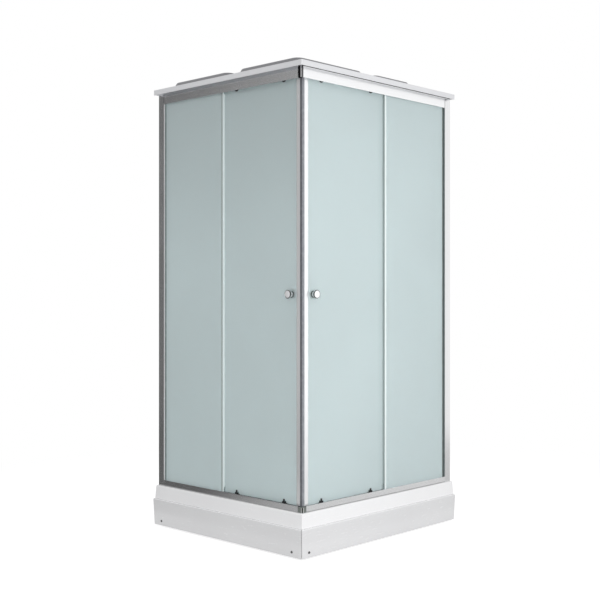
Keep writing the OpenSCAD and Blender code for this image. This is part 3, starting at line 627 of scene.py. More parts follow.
def block(name, low, high):
    """A cube primitive added at its size and place."""
    low, high = Vector(low), Vector(high)
    bpy.ops.object.select_all(action="DESELECT")
    bpy.ops.mesh.primitive_cube_add(size=1, location=(low + high) / 2)
    piece = bpy.context.active_object
    piece.name = piece.data.name = name
    piece.scale = high - low
    return settle(piece)


def wall_block(name, side, across, inwards, upright):
    """A cube primitive placed on one wall, by its spans of s, t and z."""
    (near, far), (front, back), (foot, top) = across, inwards, upright
    if side == "left":
        return block(name, (FACE - far, front - FACE, foot), (FACE - near, back - FACE, top))
    return block(name, (FACE - back, near - FACE, foot), (FACE - front, far - FACE, top))


def bevel(piece, test, width, segments, kind="EDGE"):
    """Rounds the edges, or the points of a flat shape, that pass the test."""
    open_piece(piece, test, kind)
    bpy.ops.mesh.bevel(
        offset=width, segments=segments, clamp_overlap=False,
        affect="VERTICES" if kind == "VERT" else "EDGES",
    )
    close_piece()


def shift(piece, test, move):
    """Moves the points that pass the test."""
    open_piece(piece, test, "VERT")
    bpy.ops.transform.translate(value=move)
    close_piece()


def round_all(piece, width, segments=2, angle=32.0):
    """Rounds every edge sharper than the angle with a Bevel modifier, applied."""
    pick(piece)
    rounding = piece.modifiers.new("rounding", "BEVEL")
    rounding.width = width
    rounding.segments = segments
    rounding.limit_method = "ANGLE"
    rounding.angle_limit = math.radians(angle)
    rounding.use_clamp_overlap = True
    bpy.ops.object.modifier_apply(modifier=rounding.name)


def outward(piece):
    """Merges doubles and turns every face outwards."""
    open_piece(piece)
    bpy.ops.mesh.remove_doubles(threshold=MERGED)
    bpy.ops.mesh.select_all(action="SELECT")
    bpy.ops.mesh.normals_make_consistent(inside=False)
    close_piece()


def smooth(piece, angle=35.0):
    """Smooth shading up to an angle, with every large face kept flat."""
    pick(piece)
    bpy.ops.object.shade_smooth_by_angle(angle=math.radians(angle))
    level = piece.modifiers.new("level", "WEIGHTED_NORMAL")
    level.weight = 100
    level.keep_sharp = True
    bpy.ops.object.modifier_apply(modifier=level.name)


def eased(piece, width, segments=2):
    """Rounds all edges of a small plain piece and smooths it."""
    bevel(piece, lambda edge: True, width, segments)
    smooth(piece)
    return piece


def turned(name, profile, sides):
    """A turned piece along +Z: a disc pushed up through (radius, height) steps."""
    radius, height = profile[0]
    bpy.ops.object.select_all(action="DESELECT")
    bpy.ops.mesh.primitive_circle_add(
        vertices=sides, radius=radius, fill_type="NGON", location=(0, 0, height)
    )
    piece = settle(bpy.context.active_object)
    piece.name = piece.data.name = name
    open_piece(piece)
    for wide, high in profile[1:]:
        bpy.ops.mesh.extrude_region_move(TRANSFORM_OT_translate={"value": (0, 0, high - height)})
        if abs(wide - radius) > 1e-9:
            bpy.ops.transform.resize(
                value=(wide / radius, wide / radius, 1), center_override=(0, 0, high)
            )
        radius, height = wide, high
    close_piece()
    outward(piece)
    return piece


def aimed(piece, place, direction):
    """Turns a piece made along +Z to a direction and puts its foot at a place."""
    turn = Vector((0, 0, 1)).rotation_difference(Vector(direction)).to_matrix().to_4x4()
    piece.matrix_world = Matrix.Translation(Vector(place)) @ turn
    return settle(piece)


def copied(piece, name):
    """A second piece of the same shape, with its own mesh."""
    other = bpy.data.objects.new(name, piece.data.copy())
    other.data.name = name
    bpy.context.scene.collection.objects.link(other)
    return other


def joined(name, *pieces):
    pick(*pieces)
    if len(pieces) > 1:
        bpy.ops.object.join()
    piece = bpy.context.active_object
    piece.name = piece.data.name = name
    return piece


def without(piece, *cutters):
    """Cuts other shapes out of a piece with Boolean modifiers, applied."""
    for cutter in cutters:
        pick(piece)
        cut = piece.modifiers.new("cut", "BOOLEAN")
        cut.operation = "DIFFERENCE"
        cut.solver = "EXACT"
        cut.object = cutter
        bpy.ops.object.modifier_apply(modifier=cut.name)
        bpy.data.objects.remove(cutter)


def on_wall(piece, side, name):
    """A copy of a piece drawn in s, t and z, placed on the left or the right wall."""
    other = copied(piece, name)
    other.matrix_world = WALL[side]
    settle(other)
    outward(other)
    return other


def discard(*pieces):
    for piece in pieces:
        bpy.data.objects.remove(piece)


def cad_copy(node):
    """A copy of a CAD node, its doubles merged and its flat faces made whole."""
    source = frame["nodes"][node]
    piece = bpy.data.objects.new("fine_" + node, source.data.copy())
    piece.data.name = piece.name
    bpy.context.scene.collection.objects.link(piece)
    pick(piece)
    if piece.data.has_custom_normals:
        bpy.ops.mesh.customdata_custom_splitnormals_clear()
    open_piece(piece)
    bpy.ops.mesh.remove_doubles(threshold=MERGED)
    bpy.ops.mesh.dissolve_limited(angle_limit=math.radians(0.6))
    close_piece()
    return piece


BODY_OF = {
    node: body
    for body, nodes in frame["record"]["behaviour"]["bodies"].items() for node in nodes
}


def stand_for(piece, material, node):
    """Gives a piece its material, and puts it in the place of its CAD node.
    """
    piece.data.materials.clear()
    piece.data.materials.append(material)
    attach(piece, BODY_OF[node])
    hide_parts(node)


def dressed(node, material, width, smoothing=35.0):
    """Puts a rounded copy of a CAD node in its place."""
    piece = cad_copy(node)
    round_all(piece, width)
    smooth(piece, smoothing)
    stand_for(piece, material, node)


# The pieces


class CABIN_OT_tray(Operator):
    """Make the tray and its two aprons with moulded edges"""

    bl_idname = "cabin.tray"
    bl_label = "Tray and Aprons"

    def execute(self, context):
        sizes = context.scene.cabin_sizes
        self.basin(sizes)
        for side in SIDES:
            self.apron(side, sizes)
        return {"FINISHED"}

    def basin(self, sizes):
        """The tray, with its top edge, its ledge and the edge of its bowl rounded."""
        low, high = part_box("tray_basin")
        tray = cad_copy("tray_basin")
        top = max(v.co.x for v in tray.data.vertices if abs(v.co.z - high.z) < TOLERANCE)
        ledge = min(v.co.z for v in tray.data.vertices if v.co.x > high.x - TOLERANCE)
        inside = top - 0.03
        outline = either(lying(x=top), lying(y=-top), lying(x=low.x), lying(y=high.y))
        fronts = either(lying(x=high.x), lying(y=low.y))

        def bowl(edge):
            return all(max(abs(v.co.x), abs(v.co.y)) < inside for v in edge.verts)

        bevel(tray, both(lying(z=high.z), outline), sizes.tray_edge, 4)
        bevel(tray, both(lying(z=ledge), fronts), sizes.ledge_edge, 2)
        bevel(tray, both(lying(z=high.z), bowl), sizes.bowl_edge, 4)
        smooth(tray, 40)
        stand_for(tray, white_acrylic("tray"), "tray_basin")

    def apron(self, side, sizes):
        """An apron that ends just before the corner, with its outer top edge rounded."""
        node, seam, mitre = "apron_" + side, sizes.apron_seam, 0.001
        apron = cad_copy(node)
        back = {"left": (-seam, 0, 0), "right": (0, seam, 0)}[side]
        shift(apron, lambda v: abs(v.co.x + v.co.y) < mitre, back)
        points = [v.co.copy() for v in apron.data.vertices]
        top = max(point.z for point in points)
        out = max(max(p.x, -p.y) for p in points if abs(p.z - top) < TOLERANCE)
        front = {"left": lying(y=-out), "right": lying(x=out)}[side]
        bevel(apron, both(lying(z=top), front), sizes.apron_edge, 4)
        round_all(apron, sizes.apron_edge * 0.3, 3, 25.0)
        smooth(apron)
        stand_for(apron, white_acrylic("apron"), node)


class CABIN_OT_roof(Operator):
    """Make the roof: a rounded rim with four raised pads, and the strips in its groove"""

    bl_idname = "cabin.roof"
    bl_label = "Roof"

    def execute(self, context):
        sizes = context.scene.cabin_sizes
        low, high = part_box("roof")
        plain = cad_copy("roof")
        points = [v.co.copy() for v in plain.data.vertices]
        rim_top = max(point.z for point in points if point.x < low.x + TOLERANCE)
        outlines = [
            [points[index] for index in face.vertices] for face in plain.data.polygons
            if face.normal.z > 0.99 and abs(face.center.z - high.z) < TOLERANCE
        ]
        discard(plain)
        lip, frame_top = 0.004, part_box("top_rail_left")[1].z
        groove_top = frame_top + 0.010
        shapes = [self.rim(low, high, rim_top, lip, frame_top, groove_top, sizes)]
        for number, outline in enumerate(outlines):
            shapes.append(self.pad(number, outline, rim_top, high.z, sizes))
        roof = joined("fine_roof", *shapes)
        smooth(roof, 30)
        stand_for(roof, white_acrylic("roof", rim_top, high.z), "roof")
        foot, top = frame_top - 0.0006, groove_top + 0.0004
        reach = FACE - low.x - lip
        self.groove_strips(reach, foot, top, sizes.trim_edge)
        return {"FINISHED"}

    def rim(self, low, high, top, lip, frame_top, groove_top, sizes):
        """The rim: hollow inside, with a lip over the frame and a groove behind each front lip."""
        rim = block("rim", low, (high.x, high.y, top))
        outer = either(lying(x=low.x), lying(x=high.x), lying(y=low.y), lying(y=high.y))
        outline = edge_of(low, high, sizes.rim_corner)
        bevel(rim, both(along("z"), outer), sizes.rim_corner, 6)
        bevel(rim, both(lying(z=top), outline), sizes.rim_edge, 3)
        bevel(rim, both(lying(z=low.z), outline), sizes.rim_edge * 0.5, 2)
        groove, ring, skin, below = FACE - 0.008, 0.075, 0.003, low.z - 0.01
        east, south = high.x - lip, lip - high.x
        west, north = low.x + lip, high.y - lip
        hollow = (low.x + ring, low.y + ring, below), (high.x - ring, high.y - ring, top - skin)
        without(
            rim,
            block("step", (low.x - lip, south, below), (east, high.y + lip, frame_top)),
            block("left_groove", (west, south, below), (east, -groove, groove_top)),
            block("right_groove", (groove, south, below), (east, north, groove_top)),
            block("hollow", *hollow),
        )
        return rim

    def groove_strips(self, reach, foot, top, edge):
        """The strips in the groove that carry on the face of the frame, their corner, and a
        near-black strip as painted shadow in the groove above the right strip.
        """
        thick, proud, gap, overlap = 0.0014, 0.0002, 0.0032, 0.001
        rib, left_slot, right_slot = 0.0094, 0.0238, 0.0078
        front, behind, sunk = (0.0, thick), (thick, 0.0035), (0.0025, 0.0040)
        slot_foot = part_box("top_corner_joint")[0].z + 0.001
        strips = {
            "x": wall_block("strip_left", "left", (left_slot, reach), front, (foot, top)),
            "y": wall_block("strip_right", "right", (right_slot, reach), front, (foot, foot + gap)),
            "z": wall_block("strip_rib", "left", (0.0, rib), (-proud, thick), (foot, top)),
        }
        left_lean, right_lean = 0.0012, 0.0008
        shift(strips["x"], lying(y=-FACE, z=foot), (0, left_lean, 0))
        shift(strips["y"], lying(x=FACE, z=foot), (-right_lean, 0, 0))
        for axis, strip in strips.items():
            stand_for(eased(strip, edge), brushed_aluminium(axis), "roof")
        upright = (foot + gap - overlap, top)
        # Painted shadow: a near-black strip behind the right strip, in the groove under the roof's
        # lip
        seal = wall_block("groove_shadow", "right", (right_slot, reach), behind, upright)
        slots = joined(
            "corner_slots",
            wall_block("left_slot", "left", (rib, left_slot), sunk, (slot_foot, top)),
            wall_block("right_slot", "right", (thick, right_slot), sunk, (slot_foot, top)),
        )
        for piece, node in ((seal, "roof"), (slots, "top_corner_joint")):
            stand_for(eased(piece, edge), fine_plastic("slot"), node)

    def pad(self, number, outline, base, top, sizes):
        """One raised pad: a cove at its foot, a leaning side and a crowned top."""
        lean, rise = sizes.pad_lean, top - base
        west, east = min(p.x for p in outline) - lean, max(p.x for p in outline) + lean
        south, north = min(p.y for p in outline) - lean, max(p.y for p in outline) + lean
        centre = Vector(((west + east) / 2, (south + north) / 2, base))
        wide, deep = east - west, north - south
        bpy.ops.object.select_all(action="DESELECT")
        bpy.ops.mesh.primitive_plane_add(size=1, location=centre)
        piece = bpy.context.active_object
        piece.scale = (wide, deep, 1)
        settle(piece)
        piece.name = f"pad_{number}"
        bevel(piece, lambda point: True, sizes.pad_corner, 9, kind="VERT")
        cove = (0.0015, 0.0007), (0.004, 0.0035)
        crown = (
            (0.0125, rise - 0.004), (0.0145, rise - 0.0014), (0.019, rise - 0.0003), (0.040, rise),
        )
        inset, height = 0.0, 0.0
        open_piece(piece)
        for step, high in cove + crown:
            bpy.ops.mesh.extrude_region_move(
                TRANSFORM_OT_translate={"value": (0, 0, high - height)}
            )
            narrower = (wide - 2 * step) / (wide - 2 * inset)
            shorter = (deep - 2 * step) / (deep - 2 * inset)
            bpy.ops.transform.resize(value=(narrower, shorter, 1), center_override=centre)
            inset, height = step, high
        close_piece()
        outward(piece)
        return piece


class CABIN_OT_frame(Operator):
    """Make the aluminium frame: posts, rails, corner joints and the rear profile"""

    bl_idname = "cabin.frame"
    bl_label = "Frame"

    def execute(self, context):
        sizes = context.scene.cabin_sizes
        edge = sizes.metal_edge
        for side in SIDES:
            axis = RAIL_AXIS[side]
            dressed("top_rail_" + side, brushed_aluminium(axis), edge)
            dressed("bottom_rail_" + side, brushed_aluminium(axis, "foot"), edge)
            # A painted shadow under each bottom rail
            self.sealant(side, sizes.hairline_edge)
            self.seam(side, sizes.hairline_edge * 0.5)
            if side == "left":
                self.post_lip(sizes.trim_edge)
            dressed("end_post_" + side, brushed_aluminium("z"), edge)
        dressed("rear_corner_profile", brushed_aluminium("z"), edge)
        dressed("top_corner_joint", fine_plastic("slot"), edge * 0.6)
        self.corner_rib(edge)
        dressed("bottom_corner_joint", fine_plastic("joint"), edge)
        self.foot_ribs(sizes.hairline_edge)
        return {"FINISHED"}

    def sealant(self, side, edge):
        """The thin dark line under a bottom rail, on the tray, as a painted shadow."""
        node, tall, depth = "bottom_rail_" + side, 0.0026, (-0.0003, 0.002)
        low, high = wall_box(node, side)
        upright = (low.z, low.z + tall)
        shadow_strip = wall_block("sealant_" + side, side, (low.x, high.x), depth, upright)
        stand_for(eased(shadow_strip, edge), fine_plastic("sealant"), node)

    def seam(self, side, edge):
        """The dark seam between a post and its top rail."""
        node, half, depth = "top_rail_" + side, 0.0009, (-0.0002, 0.001)
        low, high = wall_box(node, side)
        across = (high.x - half, high.x + half)
        seam = wall_block("seam_" + side, side, across, depth, (low.z, high.z))
        stand_for(eased(seam, edge, 1), fine_plastic("slot"), node)

    def post_lip(self, edge):
        """The pale lip on the left post, between the bottom and the top rail."""
        inside, wide, overlap = wall_box("end_post_left", "left")[0].x, 0.0052, 0.0004
        across, depth = (inside - wide, inside + overlap), (0.0012, 0.0027)
        upright = (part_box("bottom_rail_left")[1].z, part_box("top_rail_left")[0].z)
        lip = wall_block("post_lip", "left", across, depth, upright)
        stand_for(eased(lip, edge), satin_strip("right"), "end_post_left")

    def corner_rib(self, edge):
        """The bright rib on the front corner, between the two dark slots of the joint."""
        low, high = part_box("top_corner_joint")
        wide, thick, proud, short = 0.0094, 0.0011, 0.0002, 0.0003
        across, upright = (-proud, wide), (low.z, high.z - short)
        rib = wall_block("corner_rib", "left", across, (-proud, thick), upright)
        bevel(rib, along("z"), edge * 0.8, 3)
        smooth(rib)
        stand_for(rib, brushed_aluminium("z"), "top_corner_joint")

    def foot_ribs(self, edge):
        """The slit in the joint at the foot of the corner, and a pale rib on each side of it."""
        low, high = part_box("bottom_corner_joint")
        above_foot, below_top = 0.0005, 0.0008
        depth, upright = (-0.0003, 0.001), (low.z + above_foot, high.z - below_top)
        slit = wall_block("foot_slit", "right", (0.0005, 0.0052), depth, upright)
        ribs = joined(
            "foot_ribs",
            wall_block("foot_rib_left", "left", (0.0019, 0.0062), depth, upright),
            wall_block("foot_rib_right", "right", (0.0059, 0.0102), depth, upright),
        )
        for piece, finish in ((slit, "slot"), (ribs, "rib")):
            stand_for(eased(piece, edge), fine_plastic(finish), "bottom_corner_joint")


class CABIN_OT_panes(Operator):
    """Make the frosted panes, their ground edges and the two back panels"""

    bl_idname = "cabin.panes"
    bl_label = "Panes and Back Panels"

    def execute(self, context):
        edge = context.scene.cabin_sizes.glass_edge
        for side in SIDES:
            glass = frosted_glass(GLASS_AXIS[side])
            dressed("fixed_glass_" + side, glass, edge)
            dressed("door_glass_" + side, glass, edge)
            dressed("back_panel_" + side, white_acrylic("panel"), edge)
        return {"FINISHED"}


class CABIN_OT_seals(Operator):
    """Make the seals, gaskets, clips and the doors' closing profiles"""

    bl_idname = "cabin.seals"
    bl_label = "Seals and Closing Profiles"

    def execute(self, context):
        sizes = context.scene.cabin_sizes
        for side in SIDES:
            dressed("fixed_glass_seal_" + side, satin_strip("seal"), sizes.seal_edge)
            dressed("overlap_seal_" + side, fine_plastic("vinyl"), sizes.seal_edge)
            dressed("glass_gasket_" + side, rubber("gasket_" + side), sizes.seal_edge)
            dressed("magnet_seal_" + side, rubber("magnet_" + side), sizes.seal_edge)
            dressed("glass_clips_" + side, fine_plastic("black"), sizes.plastic_edge)
            dressed("closing_profile_" + side, satin_strip(side), sizes.metal_edge)
        return {"FINISHED"}


class CABIN_OT_knobs(Operator):
    """Turn the doors' knobs: on both faces a washer, a barrel with a bright band as a painted
    highlight, a dark ring and a cap
    """

    bl_idname = "cabin.knobs"
    bl_label = "Knobs"

    def execute(self, context):
        disc, steps = context.scene.cabin_sizes.knob_disc, 64
        low, high = wall_box("door_knob_right")
        glass_low, glass_high = wall_box("door_glass_right")
        middle = Vector(((low.x + high.x) / 2, 0, (low.z + high.z) / 2))
        radius = (high.z - low.z) / 2
        bodies, caps, rings = [], [], []
        for face, reach, way in (
            (glass_low.y, glass_low.y - low.y, -1), (glass_high.y, high.y - glass_high.y, 1),
        ):
            place, out = (middle.x, face, middle.z), (0, way, 0)
            shapes = knob_profiles(radius, reach, reach - disc)
            barrel, cap, band, ring, washer = (
                aimed(turned(name, shapes[name], steps), place, out) for name in shapes
            )
            bodies.append(barrel)
            # The band takes the caps' bright finish, as a painted highlight
            caps += [cap, band]
            rings += [ring, washer]
        stem = turned("stem", ((0.0050, -0.002), (0.0050, 0.008)), 24)
        bodies.append(aimed(stem, (middle.x, glass_low.y, middle.z), (0, 1, 0)))
        for name, parts, material in (
            # The knobs' bodies and rings are painted dark, as painted shade and reflection
            ("door_knob", bodies, plate_painted_dark("body")),
            ("knob_rings", rings, plate_painted_dark("ring")),
            ("knob_caps", caps, satin_strip("cap")),
        ):
            knob = joined(name, *parts)
            smooth(knob, 28)
            for side in SIDES:
                piece = on_wall(knob, side, f"fine_{name}_{side}")
                stand_for(piece, material, "door_knob_" + side)
            discard(knob)
        return {"FINISHED"}


def knob_profiles(radius, reach, back):
    """The (radius, height) steps of a knob's parts. Its disc lies between back and reach."""
    return {
        "barrel": (
            (0.0124, 0.0010), (0.0127, 0.0018), (0.0124, 0.0026), (0.0119, 0.0034),
            (0.0116, 0.0060), (0.0115, back - 0.0060), (0.0118, back - 0.0035),
            (0.0126, back - 0.0014), (0.0140, back + 0.0004),
        ),
        "cap": (
            (radius - 0.0027, reach - 0.0034), (radius - 0.0027, reach - 0.0022),
            (radius - 0.0031, reach - 0.0018), (radius - 0.0050, reach - 0.0013),
            (radius - 0.0080, reach - 0.0008), (radius - 0.0110, reach - 0.0004),
            (radius - 0.0145, reach - 0.0001), (0.0004, reach),
        ),
        # Painted highlight: a bright band round the barrel, in the caps' finish
        "band": (
            (0.0112, 0.0068), (0.0119, 0.0072), (0.0122, 0.0080), (0.0122, 0.0104),
            (0.0119, 0.0112), (0.0112, 0.0116),
        ),
        "ring": (
            (0.0136, back), (radius - 0.0008, back + 0.0002), (radius, back + 0.0010),
            (radius, reach - 0.0032), (radius - 0.0006, reach - 0.0024),
            (radius - 0.0026, reach - 0.0023), (0.0100, reach - 0.0026),
        ),
        "washer": (
            (0.0134, 0.0001), (0.0138, 0.0004), (0.0138, 0.0013), (0.0133, 0.0017),
            (0.0100, 0.0017),
        ),
    }


class CABIN_OT_rollers(Operator):
    """Make the doors' hangers with their round caps, and turn the top wheels"""

    bl_idname = "cabin.rollers"
    bl_label = "Hangers and Top Wheels"

    def execute(self, context):
        edge = context.scene.cabin_sizes.plastic_edge
        for side in SIDES:
            dressed("top_hangers_" + side, fine_plastic("black"), edge)
        wheels("top_wheel", grooved, 48, 0.0026, 32)
        return {"FINISHED"}


def grooved(radius, width):
    """Profile of a top wheel: a dished hub, rounded edges and a groove for the rail."""
    edge, dish, depth, start, end = 0.0004, 0.0006, 0.0019, 0.0010, 0.0045
    hub, face, floor = radius * 0.5, radius * 0.6, radius - depth
    return (
        (hub, dish), (face, 0.0), (radius - edge, 0.0), (radius, edge), (radius, start + edge),
        (floor, start + 0.0009), (floor, end - edge), (radius, end), (radius, width - edge),
        (radius - edge, width), (face, width), (hub, width - dish),
    )


def plain_rim(radius, width):
    """Profile of a guide wheel: a dished hub and rounded edges."""
    edge, dish, hub, face = 0.0005, 0.0003, radius * 0.6, radius * 0.65
    return (
        (hub, dish), (face, 0.0), (radius - edge, 0.0), (radius, edge),
        (radius, width - edge), (radius - edge, width), (face, width), (hub, width - dish),
    )


def wheels(kind, profile, steps, bore, bore_steps):
    """Turns and bores each wheel of one kind, and puts it on both walls."""
    for place in PLACES:
        low, high = wall_box(f"{kind}_right_{place}")
        radius, width = (high.z - low.z) / 2, high.y - low.y
        wheel = turned("wheel", profile(radius, width), steps)
        without(wheel, turned("bore", ((bore, -0.01), (bore, 0.03)), bore_steps))
        aimed(wheel, ((low.x + high.x) / 2, low.y, (low.z + high.z) / 2), (0, 1, 0))
        smooth(wheel, 30)
        for side in SIDES:
            node = f"{kind}_{side}_{place}"
            stand_for(on_wall(wheel, side, "fine_" + node), fine_plastic("nylon"), node)
        discard(wheel)


class CABIN_OT_guides(Operator):
    """Make the wedge guides at the doors' feet, their sprung buttons and wheels"""

    bl_idname = "cabin.guides"
    bl_label = "Bottom Guides"

    def execute(self, context):
        edge = context.scene.cabin_sizes.plastic_edge
        for side in SIDES:
            self.housings(side, edge)
            for place in PLACES:
                dressed(f"guide_button_{side}_{place}", fine_plastic("black"), edge)
        wheels("guide_wheel", plain_rim, 32, 0.0021, 24)
        return {"FINISHED"}

    def housings(self, side, edge):
        """A door's two guide housings, with low shoulders before the glass."""
        node, lower = "guide_housings_" + side, (0, 0, -0.0045)
        glass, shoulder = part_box("door_glass_" + side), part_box(node)[0].z + 0.009
        before = {
            "left": lambda v: v.co.y < glass[0].y, "right": lambda v: v.co.x > glass[1].x,
        }[side]
        housings = cad_copy(node)
        shift(housings, both(before, lambda v: v.co.z > shoulder), lower)
        round_all(housings, edge)
        smooth(housings)
        stand_for(housings, fine_plastic("black"), node)


class CABIN_OT_underframe(Operator):
    """Make the steel underframe, the feet, the apron screws and the waste"""

    bl_idname = "cabin.underframe"
    bl_label = "Underframe, Feet and Waste"

    def execute(self, context):
        for node, material, edge in (
            ("tray_frame", zinc_steel(), 0.0005), ("levelling_rods", zinc_steel(), 0.0004),
            ("foot_pads", rubber("foot"), 0.0008), ("apron_screws", dark_screw(), 0.0005),
            ("waste_trap", fine_plastic("trap"), 0.0008), ("waste_grille", bright_chrome(), 0.0006),
        ):
            dressed(node, material, edge)
        return {"FINISHED"}


class CABIN_OT_taps(Operator):
    """Make the mixer, its handles, the riser pipe and the overhead shower"""

    bl_idname = "cabin.taps"
    bl_label = "Mixer and Overhead Shower"

    def execute(self, context):
        for node, edge, smoothing in (
            ("mixer_body", 0.0010, 35), ("flow_handle", 0.0008, 35),
            ("temperature_handle", 0.0008, 35), ("riser_pipe", 0.0008, 40),
            ("shower_head", 0.0012, 35),
        ):
            dressed(node, bright_chrome(), edge, smoothing)
        return {"FINISHED"}


# The stage

# Lens, sensor width and shifts, the camera's place and its turns in degrees
LENS, SENSOR, SHIFT = 61.99, 36.0, (-0.1736, -0.01095)
CAMERA_PLACE, CAMERA_TURN = (3.5315, -3.3702, 1.0783), (90, 0, 40.9)

# The floor's side, its own light, and the distances over which it turns plain white
FLOOR_SIDE, FLOOR_GLOW, FLOOR_FADE = 40.0, 0.74, (0.9, 2.6)

# Brightness of the sky by height of view, from one height to another: as light, and as seen
SKY_LIGHT, SKY_SEEN = (0.0, 0.9, 0.50, 0.80), (0.45, 0.8, 1.0, 0.15)

# Each lamp's place, what it points at, its size and its power
LAMPS = {
    "key": ((3.3, -0.55, 1.15), (0.3, -0.1, 1.1), 1.2, 52.0),
    "fill": ((0.3, -3.2, 0.85), (0.0, -0.4, 0.9), 1.2, 26.0),
    "back": ((-3.6, 3.8, 2.2), (0.0, 0.0, 1.0), 3.0, 60.0),
}

# Each card's spans of x, y and z, then the axis and the span over which its grey changes,
# and its grey at both ends
CARDS = {
    "left_card": ((-7.5, 0.5), (-3.65, -3.65), (0.0, 4.2), "X", (-5.2, -2.2), (0.13, 0.36)),
    "left_mat": ((-7.5, 0.5), (-3.65, -0.62), (0.002, 0.002), "X", (-1.0, -0.35), (0.12, 0.46)),
    "right_mat": ((0.62, 3.0), (-0.35, 2.6), (0.002, 0.002), "Y", (-0.2, 1.2), (0.54, 0.60)),
    "camera_card": ((2.2, 6.4), (-6.4, -2.2), (0.0, 3.4), "X", (0.0, 1.0), (0.08, 0.08)),
}


def seen_rays(f):
    """1 for what the eye, a mirror or glass sees, and 0 for soft light."""
    kinds = ("Is Camera Ray", "Is Glossy Ray", "Is Transmission Ray")
    camera, mirror, glass = (f.node("ShaderNodeLightPath", out=kind) for kind in kinds)
    return (camera + mirror + glass).clipped()


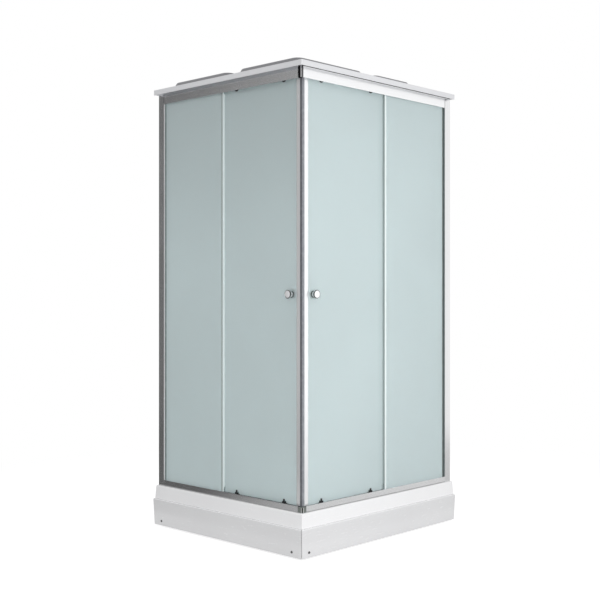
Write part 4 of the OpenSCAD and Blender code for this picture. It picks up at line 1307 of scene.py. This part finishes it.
class CABIN_OT_stage(Operator):
    """Set the camera at the photograph's angle, the floor and the studio light"""

    bl_idname = "cabin.stage"
    bl_label = "Camera, Floor and Light"

    def execute(self, context):
        scene = context.scene
        scene.view_settings.view_transform = "Standard"
        self.camera(scene)
        self.floor(scene)
        self.sky(scene)
        for name, lamp in LAMPS.items():
            self.lamp(scene, name, *lamp)
        for name, card in CARDS.items():
            self.card(name, *card)
        return {"FINISHED"}

    def camera(self, scene):
        view = bpy.data.cameras.new("camera")
        view.lens, view.sensor_width = LENS, SENSOR
        view.shift_x, view.shift_y = SHIFT
        view.clip_end = 60.0
        camera = bpy.data.objects.new("camera", view)
        camera.location = CAMERA_PLACE
        camera.rotation_euler = [math.radians(turn) for turn in CAMERA_TURN]
        scene.collection.objects.link(camera)
        scene.camera = camera

    def floor(self, scene):
        """Pale and lit near the cabin, where its shadow falls, and plain white further off."""
        bpy.ops.object.select_all(action="DESELECT")
        bpy.ops.mesh.primitive_plane_add(size=FLOOR_SIDE, location=(0, 0, 0))
        floor = settle(bpy.context.active_object)
        floor.name = "floor"
        f = Finish("studio_floor")
        seen = seen_rays(f)
        plain = f.node("ShaderNodeBsdfDiffuse", {}, {"Color": scene.cabin_colours.floor})
        near = f.node("ShaderNodeAddShader", {}, {0: plain, 1: f.glow(FLOOR_GLOW * seen)})
        away = f.node("ShaderNodeVectorMath", {"operation": "LENGTH"}, {0: f.place()}, out="Value")
        white = away.ramp(*FLOOR_FADE) * seen
        f.close(f.node("ShaderNodeMixShader", {}, {0: white, 1: near, 2: f.glow(1.0)}))
        floor.data.materials.append(f.owner)

    def sky(self, scene):
        """White as seen, darker overhead, and as soft light brighter overhead."""
        f = Finish("studio", bpy.data.worlds.new("studio"))
        scene.world = f.owner
        f.owner.cycles.sampling_method = "NONE"
        up = f.part(f.node("ShaderNodeTexCoord", out="Generated"), "Z")
        light, seen = up.ramp(*SKY_LIGHT), up.ramp(*SKY_SEEN)
        strength = light + (seen - light) * seen_rays(f)
        sky = f.node("ShaderNodeBackground", {}, {"Color": (1, 1, 1), "Strength": strength})
        f.node("ShaderNodeOutputWorld", {}, {"Surface": sky})

    def lamp(self, scene, name, place, aim, size, power):
        """A square lamp that mirrors don't show."""
        light = bpy.data.lights.new(name, "AREA")
        light.size, light.energy = size, power
        lamp = bpy.data.objects.new(name, light)
        lamp.location = place
        lamp.rotation_euler = (Vector(aim) - Vector(place)).to_track_quat("-Z", "Y").to_euler()
        scene.collection.objects.link(lamp)
        lamp.visible_glossy = False

    def card(self, name, xs, ys, zs, axis, reach, greys):
        """A grey studio card, upright or lying, seen only in mirrored surfaces."""
        bpy.ops.object.select_all(action="DESELECT")
        bpy.ops.mesh.primitive_plane_add(size=1.0, location=(0, 0, 0))
        card = bpy.context.active_object
        card.name = name
        if zs[0] == zs[1]:
            card.scale = (xs[1] - xs[0], ys[1] - ys[0], 1)
        else:
            run = Vector((xs[1] - xs[0], ys[1] - ys[0], 0))
            card.scale = (run.length, zs[1] - zs[0], 1)
            card.rotation_euler = (math.radians(90), 0, math.atan2(run.y, run.x))
        card.location = [sum(span) / 2 for span in (xs, ys, zs)]
        settle(card)
        f = Finish(name)
        f.close(f.glow(f.part(f.place(), axis).ramp(*reach, *greys)))
        card.data.materials.append(f.owner)
        for ray in ("camera", "diffuse", "transmission", "shadow", "volume_scatter"):
            setattr(card, "visible_" + ray, False)


class CABIN_PT_sidebar(Panel):
    """Sizes, colours and the steps that make the cabin"""

    bl_idname = "CABIN_PT_sidebar"
    bl_label = "Shower Cabin"
    bl_space_type = "VIEW_3D"
    bl_region_type = "UI"
    bl_category = "Shower Cabin"

    def draw(self, context):
        layout = self.layout
        steps = layout.column(align=True)
        for step in STEPS:
            steps.operator(step.bl_idname)
        for title, values in (
            ("Sizes", context.scene.cabin_sizes), ("Colours", context.scene.cabin_colours)
        ):
            box = layout.box()
            box.label(text=title)
            for name in values.__annotations__:
                box.prop(values, name)


STEPS = (
    CABIN_OT_stage, CABIN_OT_tray, CABIN_OT_roof, CABIN_OT_frame, CABIN_OT_panes, CABIN_OT_seals,
    CABIN_OT_knobs, CABIN_OT_rollers, CABIN_OT_guides, CABIN_OT_underframe, CABIN_OT_taps,
)
CLASSES = (CabinSizes, CabinColours) + STEPS + (CABIN_PT_sidebar,)


def register():
    for kind in CLASSES:
        bpy.utils.register_class(kind)
    bpy.types.Scene.cabin_sizes = PointerProperty(type=CabinSizes)
    bpy.types.Scene.cabin_colours = PointerProperty(type=CabinColours)


def unregister():
    del bpy.types.Scene.cabin_colours
    del bpy.types.Scene.cabin_sizes
    for kind in reversed(CLASSES):
        bpy.utils.unregister_class(kind)


def main():
    register()
    for step in STEPS:
        group, name = step.bl_idname.split(".")
        getattr(getattr(bpy.ops, group), name)()


if __name__ == "__main__":
    main()
